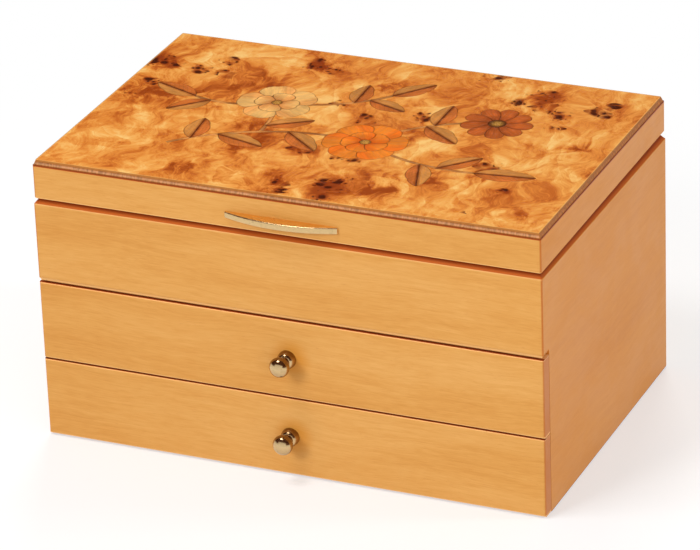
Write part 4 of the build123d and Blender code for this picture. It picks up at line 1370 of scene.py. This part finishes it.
def add_pull(finish):
    """A bowed lip pull with a rim, hollow below."""
    low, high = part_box("lid_pull")
    pull = start_block("bowed_lip_pull", low, high)
    chord = high.x - low.x
    bow = high.y - low.y
    rise = bow - PULL_END
    radius = (chord**2 / 4 + rise**2) / (2 * rise)
    start_edit(pull)
    for step in range(1, PULL_STEPS):
        x = low.x + chord * step / PULL_STEPS
        bpy.ops.mesh.select_all(action="SELECT")
        bpy.ops.mesh.bisect(plane_co=(x, 0.0, 0.0), plane_no=(1.0, 0.0, 0.0))
    shape = bmesh.from_edit_mesh(pull.data)
    for vertex in shape.verts:
        if vertex.co.y < high.y - bow / 2:
            vertex.co.y = low.y + radius - math.sqrt(radius**2 - vertex.co.x**2)
    bmesh.update_edit_mesh(pull.data)

    def on_front_edge(edge):
        level = abs(edge.verts[0].co.z - edge.verts[1].co.z) < PULL_EASE
        return level and all(end.co.y < high.y - PULL_END / 2 for end in edge.verts)

    def in_hollow(face):
        return face.normal.z < -LEVEL and abs(face.calc_center_median().x) < PULL_HOLLOW

    pick(pull, "EDGE", on_front_edge)
    bpy.ops.mesh.bevel(offset=PULL_EASE, segments=EASE_SEGMENTS, affect="EDGES", clamp_overlap=False)
    pick(pull, "FACE", in_hollow)
    bpy.ops.mesh.inset(thickness=PULL_RIM, depth=0.0)
    up = high.z - low.z - PULL_PLATE
    bpy.ops.mesh.extrude_region_move(TRANSFORM_OT_translate={"value": (0.0, 0.0, up)})
    face_out()
    end_edit()
    bpy.ops.object.shade_smooth_by_angle(angle=SMOOTH_ANGLE)
    set_in(pull, "lid", finish, "brass", "lid_pull")


def add_mirror():
    """The mirror, with a bevelled rim on its face."""
    low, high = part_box("lid_mirror")
    mirror = start_block("bevelled_mirror", low, high)
    start_edit(mirror)
    pick(mirror, "FACE", lambda face: face.normal.z < -LEVEL)
    bpy.ops.mesh.inset(thickness=MIRROR_BEVEL, depth=0.0)
    rim = MIRROR_BEVEL / 2

    def on_rim(vertex):
        inside = low.x + rim < vertex.co.x < high.x - rim and low.y + rim < vertex.co.y < high.y - rim
        return vertex.co.z < (low.z + high.z) / 2 and not inside

    pick(mirror, "VERT", on_rim)
    bpy.ops.transform.translate(value=(0.0, 0.0, MIRROR_BEVEL_RISE))
    end_edit()
    set_in(mirror, "lid", mirror_glass(), "mirror", "lid_mirror")


# Cloth and padding


def brushed_cloth(name, dark, light, nap):
    """Cloth with a short brushed nap."""
    made, tree, shader = new_material(name, **NAP_SHEEN)
    pile = use(tree, cloth_nap, Vector=own_place(tree), Nap=nap)
    colour = mix(tree, pile["Tone"], dark, light)
    rough = fade(tree, pile["Tone"], 0.0, 1.0, *NAP_GLOSS)
    feed(tree, shader, Base_Color=colour, Roughness=rough, Normal=bump(tree, pile["Height"], NAP_RELIEF))
    return made


def lined_card(name, low, high, ease):
    """A card wrapped in cloth, with soft edges."""
    card = start_block(name, low, high)
    ease_edges(card, ease)
    return card


def add_linings(suede):
    """The padded cards on the tray floor, in the drawers and against the tray walls."""
    floors = (
        ("tray_floor_pad", "tray_floor_lining", "case"),
        ("upper_drawer_pad", "upper_drawer_lining", "upper_drawer"),
        ("lower_drawer_pad", "lower_drawer_lining", "lower_drawer"),
    )
    for name, source, body in floors:
        card = lined_card(name, *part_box(source), CARD_EASE)
        set_in(card, body, suede, "suede", source)
    low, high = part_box("tray_wall_lining")
    thick = high.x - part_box("long_divider")[1].x
    strips = (
        ((low.x, low.y), (high.x, low.y + thick)),
        ((low.x, high.y - thick), (high.x, high.y)),
        ((low.x, low.y + thick), (low.x + thick, high.y - thick)),
        ((high.x - thick, low.y + thick), (high.x, high.y - thick)),
    )
    cards = [
        lined_card("wall_card", (*start, low.z), (*end, high.z), CARD_EASE) for start, end in strips
    ]
    walls = join("tray_wall_pads", cards)
    set_in(walls, "case", suede, "suede", "tray_wall_lining")


def add_dividers(suede):
    """The covered boards that part the tray and the upper drawer."""
    for source in ("ring_divider", "long_divider", "short_divider"):
        board = lined_card("covered_" + source, *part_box(source), DIVIDER_EASE)
        set_in(board, "case", suede, "suede", source)
    low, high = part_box("upper_drawer_dividers")
    ring_low, ring_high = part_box("ring_divider")
    thick = ring_high.x - ring_low.x
    boards = []
    for x in (low.x, high.x - thick):
        corners = ((x, low.y, low.z), (x + thick, high.y, high.z))
        boards.append(lined_card("drawer_board", *corners, DIVIDER_EASE))
    pair = join("covered_drawer_dividers", boards)
    set_in(pair, "upper_drawer", suede, "suede", "upper_drawer_dividers")


def stuff(roll, low):
    """Blows a roll up from inside as cloth over foam, with its seat held."""
    seat = roll.vertex_groups.new(name="seat")
    held = [vertex.index for vertex in roll.data.vertices if vertex.co.z < low.z + ROLL_SEAT]
    seat.add(held, 1.0, "REPLACE")
    before = [vertex.co.copy() for vertex in roll.data.vertices]
    cloth = roll.modifiers.new("stuffing", "CLOTH")
    cloth.settings.use_pressure = True
    cloth.settings.uniform_pressure_force = ROLL_PRESSURE
    cloth.settings.effector_weights.gravity = 0.0
    cloth.settings.vertex_group_mass = seat.name
    for number in range(1, ROLL_FRAMES + 1):
        bpy.context.scene.frame_set(number)
    apply_modifiers(roll)
    bpy.context.scene.frame_set(1)
    for vertex, start in zip(roll.data.vertices, before):
        moved = vertex.co - start
        if moved.length > ROLL_SWELL:
            vertex.co = start + moved.normalized() * ROLL_SWELL


def ring_roll(low, high):
    """One padded roll with a round top."""
    slack = Vector((ROLL_SLACK, ROLL_SLACK, 0.0))
    top = Vector((0.0, 0.0, ROLL_SLACK))
    roll = start_block("ring_roll", low + slack, high - slack - top)
    radius = (high.y - low.y) / 2 - ROLL_SLACK

    def on_long_top(edge):
        start, end = (vertex.co for vertex in edge.verts)
        return min(start.z, end.z) > low.z + radius and abs(start.x - end.x) > radius

    start_edit(roll)
    pick(roll, "EDGE", on_long_top)
    bpy.ops.mesh.bevel(offset=radius * ROLL_ROUNDING, segments=ROLL_SEGMENTS, affect="EDGES")
    end_edit()
    remesh = roll.modifiers.new("even_mesh", "REMESH")
    remesh.mode = "VOXEL"
    remesh.voxel_size = ROLL_VOXEL
    apply_modifiers(roll)
    stuff(roll, low)
    smooth = roll.modifiers.new("smooth", "SUBSURF")
    smooth.levels = 1
    smooth.render_levels = 1
    apply_modifiers(roll)
    bpy.ops.object.shade_smooth()
    return roll


def add_ring_rolls(suede):
    """A row of padded rolls, modelled once and copied, every other one turned round."""
    low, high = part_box("ring_rolls")
    pitch = (high.y - low.y + ROLL_GAP) / ROLLS
    first_high = Vector((high.x, low.y + pitch - ROLL_GAP, high.z))
    first = ring_roll(low, first_high)
    middle = (low + first_high) / 2
    about = Matrix.Translation(middle) @ Matrix.Rotation(math.pi, 4, "Z") @ Matrix.Translation(-middle)
    rolls = [first]
    for count in range(1, ROLLS):
        copy = bpy.data.objects.new("ring_roll", first.data.copy())
        bpy.context.scene.collection.objects.link(copy)
        if count % 2:
            copy.data.transform(about)
        copy.data.transform(Matrix.Translation((0.0, pitch * count, 0.0)))
        rolls.append(copy)
    row = join("padded_ring_rolls", rolls)
    set_in(row, "case", suede, "suede", "ring_rolls")


def add_surround(suede):
    """The lined card round the mirror."""
    low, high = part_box("mirror_surround")
    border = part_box("lid_mirror")[0].x - low.x - MIRROR_GAP
    card = start_block("mirror_surround_pad", low, high)
    start_edit(card)
    pick(card, "FACE", lambda face: abs(face.normal.z) > LEVEL)
    bpy.ops.mesh.inset(thickness=border, depth=0.0)
    bpy.ops.mesh.bridge_edge_loops()
    face_out()
    end_edit()
    ease_edges(card, CARD_EASE)
    set_in(card, "lid", suede, "suede", "mirror_surround")


def add_felt():
    """The felt under the base."""
    low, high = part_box("base_felt")
    felt = lined_card("base_felt_sheet", low, high, FELT_EASE)
    finish = brushed_cloth("brown_felt", FELT_DARK, FELT_LIGHT, FELT_NAP)
    set_in(felt, "case", finish, "felt", "base_felt")


# Stage


def add_camera():
    """The camera at the photograph's viewing angle."""
    flat = math.cos(ELEVATION)
    back = Vector((math.sin(AZIMUTH) * flat, -math.cos(AZIMUTH) * flat, math.sin(ELEVATION)))
    level = Vector((math.cos(AZIMUTH), math.sin(AZIMUTH), 0.0))
    upright = back.cross(level)
    right = level * math.cos(ROLL) - upright * math.sin(ROLL)
    up = upright * math.cos(ROLL) + level * math.sin(ROLL)
    bpy.ops.object.camera_add(location=CAMERA_AIM + back * CAMERA_DISTANCE)
    camera = bpy.context.active_object
    camera.rotation_euler = Matrix((right, up, back)).transposed().to_euler()
    camera.data.lens = CAMERA_LENS
    bpy.context.scene.camera = camera


def add_lamps():
    """Soft lamps round the object."""
    centre = (cad_low + cad_high) / 2
    for name, (way, distance, size, power, in_gloss) in LAMPS.items():
        towards = Vector(way).normalized()
        bpy.ops.object.light_add(type="AREA", location=centre + towards * distance)
        lamp = bpy.context.active_object
        lamp.name = name
        lamp.rotation_euler = towards.to_track_quat("Z", "Y").to_euler()
        lamp.data.size = size
        lamp.data.energy = power
        lamp.visible_glossy = in_gloss


def seen_directly(tree):
    """One for rays from the camera, from gloss and through glass."""
    path = add_node(tree, "LightPath", {}).outputs
    seen = calculate(tree, "MAXIMUM", path["Is Camera Ray"], path["Is Glossy Ray"])
    return calculate(tree, "MAXIMUM", seen, path["Is Transmission Ray"])


def set_world():
    """Even light from all round, on a white background."""
    world = bpy.data.worlds.new("studio")
    bpy.context.scene.world = world
    world.use_nodes = True
    tree = world.node_tree
    tree.nodes.clear()
    strength = fade(tree, seen_directly(tree), 0.0, 1.0, AMBIENT, 1.0)
    light = add_node(tree, "Background", {"Color": WHITE, "Strength": strength})
    output = add_node(tree, "OutputWorld", {})
    tree.links.new(light.outputs[0], output.inputs["Surface"])


def floor_finish():
    """A pale floor that keeps the shadow near the object and is white further off."""
    made = bpy.data.materials.new("pale_floor")
    made.use_nodes = True
    tree = made.node_tree
    tree.nodes.clear()
    seen = seen_directly(tree)
    far = times(tree, fade(tree, away_from(tree, own_place(tree)), FLOOR_NEAR, FLOOR_FAR), seen)
    lift = fade(tree, seen, 0.0, 1.0, FLOOR_GLOW, FLOOR_LIFT)
    near_shade = add_node(tree, "BsdfDiffuse", {"Color": FLOOR_SHADE}).outputs[0]
    near_glow = add_node(tree, "Emission", {"Color": WHITE, "Strength": lift}).outputs[0]
    near = add_node(tree, "AddShader", {0: near_shade, 1: near_glow}).outputs[0]
    white = add_node(tree, "Emission", {"Color": WHITE, "Strength": 1.0}).outputs[0]
    surface = add_node(tree, "MixShader", {0: far, 1: near, 2: white}).outputs[0]
    output = add_node(tree, "OutputMaterial", {})
    tree.links.new(surface, output.inputs["Surface"])
    return made


def add_floor():
    """The floor that the object stands on."""
    bpy.ops.object.select_all(action="DESELECT")
    bpy.ops.mesh.primitive_plane_add(size=FLOOR_SIZE, location=(0.0, 0.0, cad_low.z))
    floor = bpy.context.active_object
    floor.name = "floor"
    floor.data.materials.append(floor_finish())


def add_dark_cards():
    """Dark cards over and beside the object, which only the gloss of metal and lacquer shows."""
    shade = new_material("dark_card", Base_Color=DARK_SHADE, Roughness=1.0)[0]
    for name, (middle, turn, size) in DARK_CARDS.items():
        bpy.ops.mesh.primitive_plane_add(size=size, location=middle, rotation=turn)
        card = bpy.context.active_object
        card.name = name
        card.data.materials.append(shade)
        card.visible_camera = False
        card.visible_diffuse = False
        card.visible_transmission = False
        card.visible_shadow = False


# Assembly

add_camera()
add_lamps()
set_world()
add_floor()
add_dark_cards()

dress_boards()
dress_inside_woods()
dress(edge_wood(), "lid_top_panel")
dress(burl(), "burl_veneer")
add_inlay()

knob_brass = metal("knob_brass", KNOB_BRASS, DARK_BRASS, **KNOB_WEAR_AND_SHADING)
for drawer_name in DRAWERS:
    add_knob(drawer_name, knob_brass)
add_pull(metal("pull_brass", PULL_BRASS, DULL_BRASS, **PULL_WEAR_AND_SHADING))
hinge_brass = metal("hinge_brass", HINGE_BRASS, DULL_BRASS, **HINGE_AGE)
for part in ("hinge_case_leaf", "hinge_lid_leaf", "hinge_pin"):
    dress(hinge_brass, part + "_left", part + "_right")
dress(hinge_brass, "hinge_case_screws", "hinge_lid_screws")
steel = metal("bright_steel", STEEL, DULL_STEEL, **STEEL_AGE)
dress(steel, "pull_screws", "upper_drawer_knob_screw", "lower_drawer_knob_screw")

add_mirror()
suede_cloth = brushed_cloth("beige_suede", SUEDE_DARK, SUEDE_LIGHT, SUEDE_NAP)
add_linings(suede_cloth)
add_dividers(suede_cloth)
add_ring_rolls(suede_cloth)
add_surround(suede_cloth)
add_felt()

bpy.context.scene.view_settings.view_transform = "Standard"
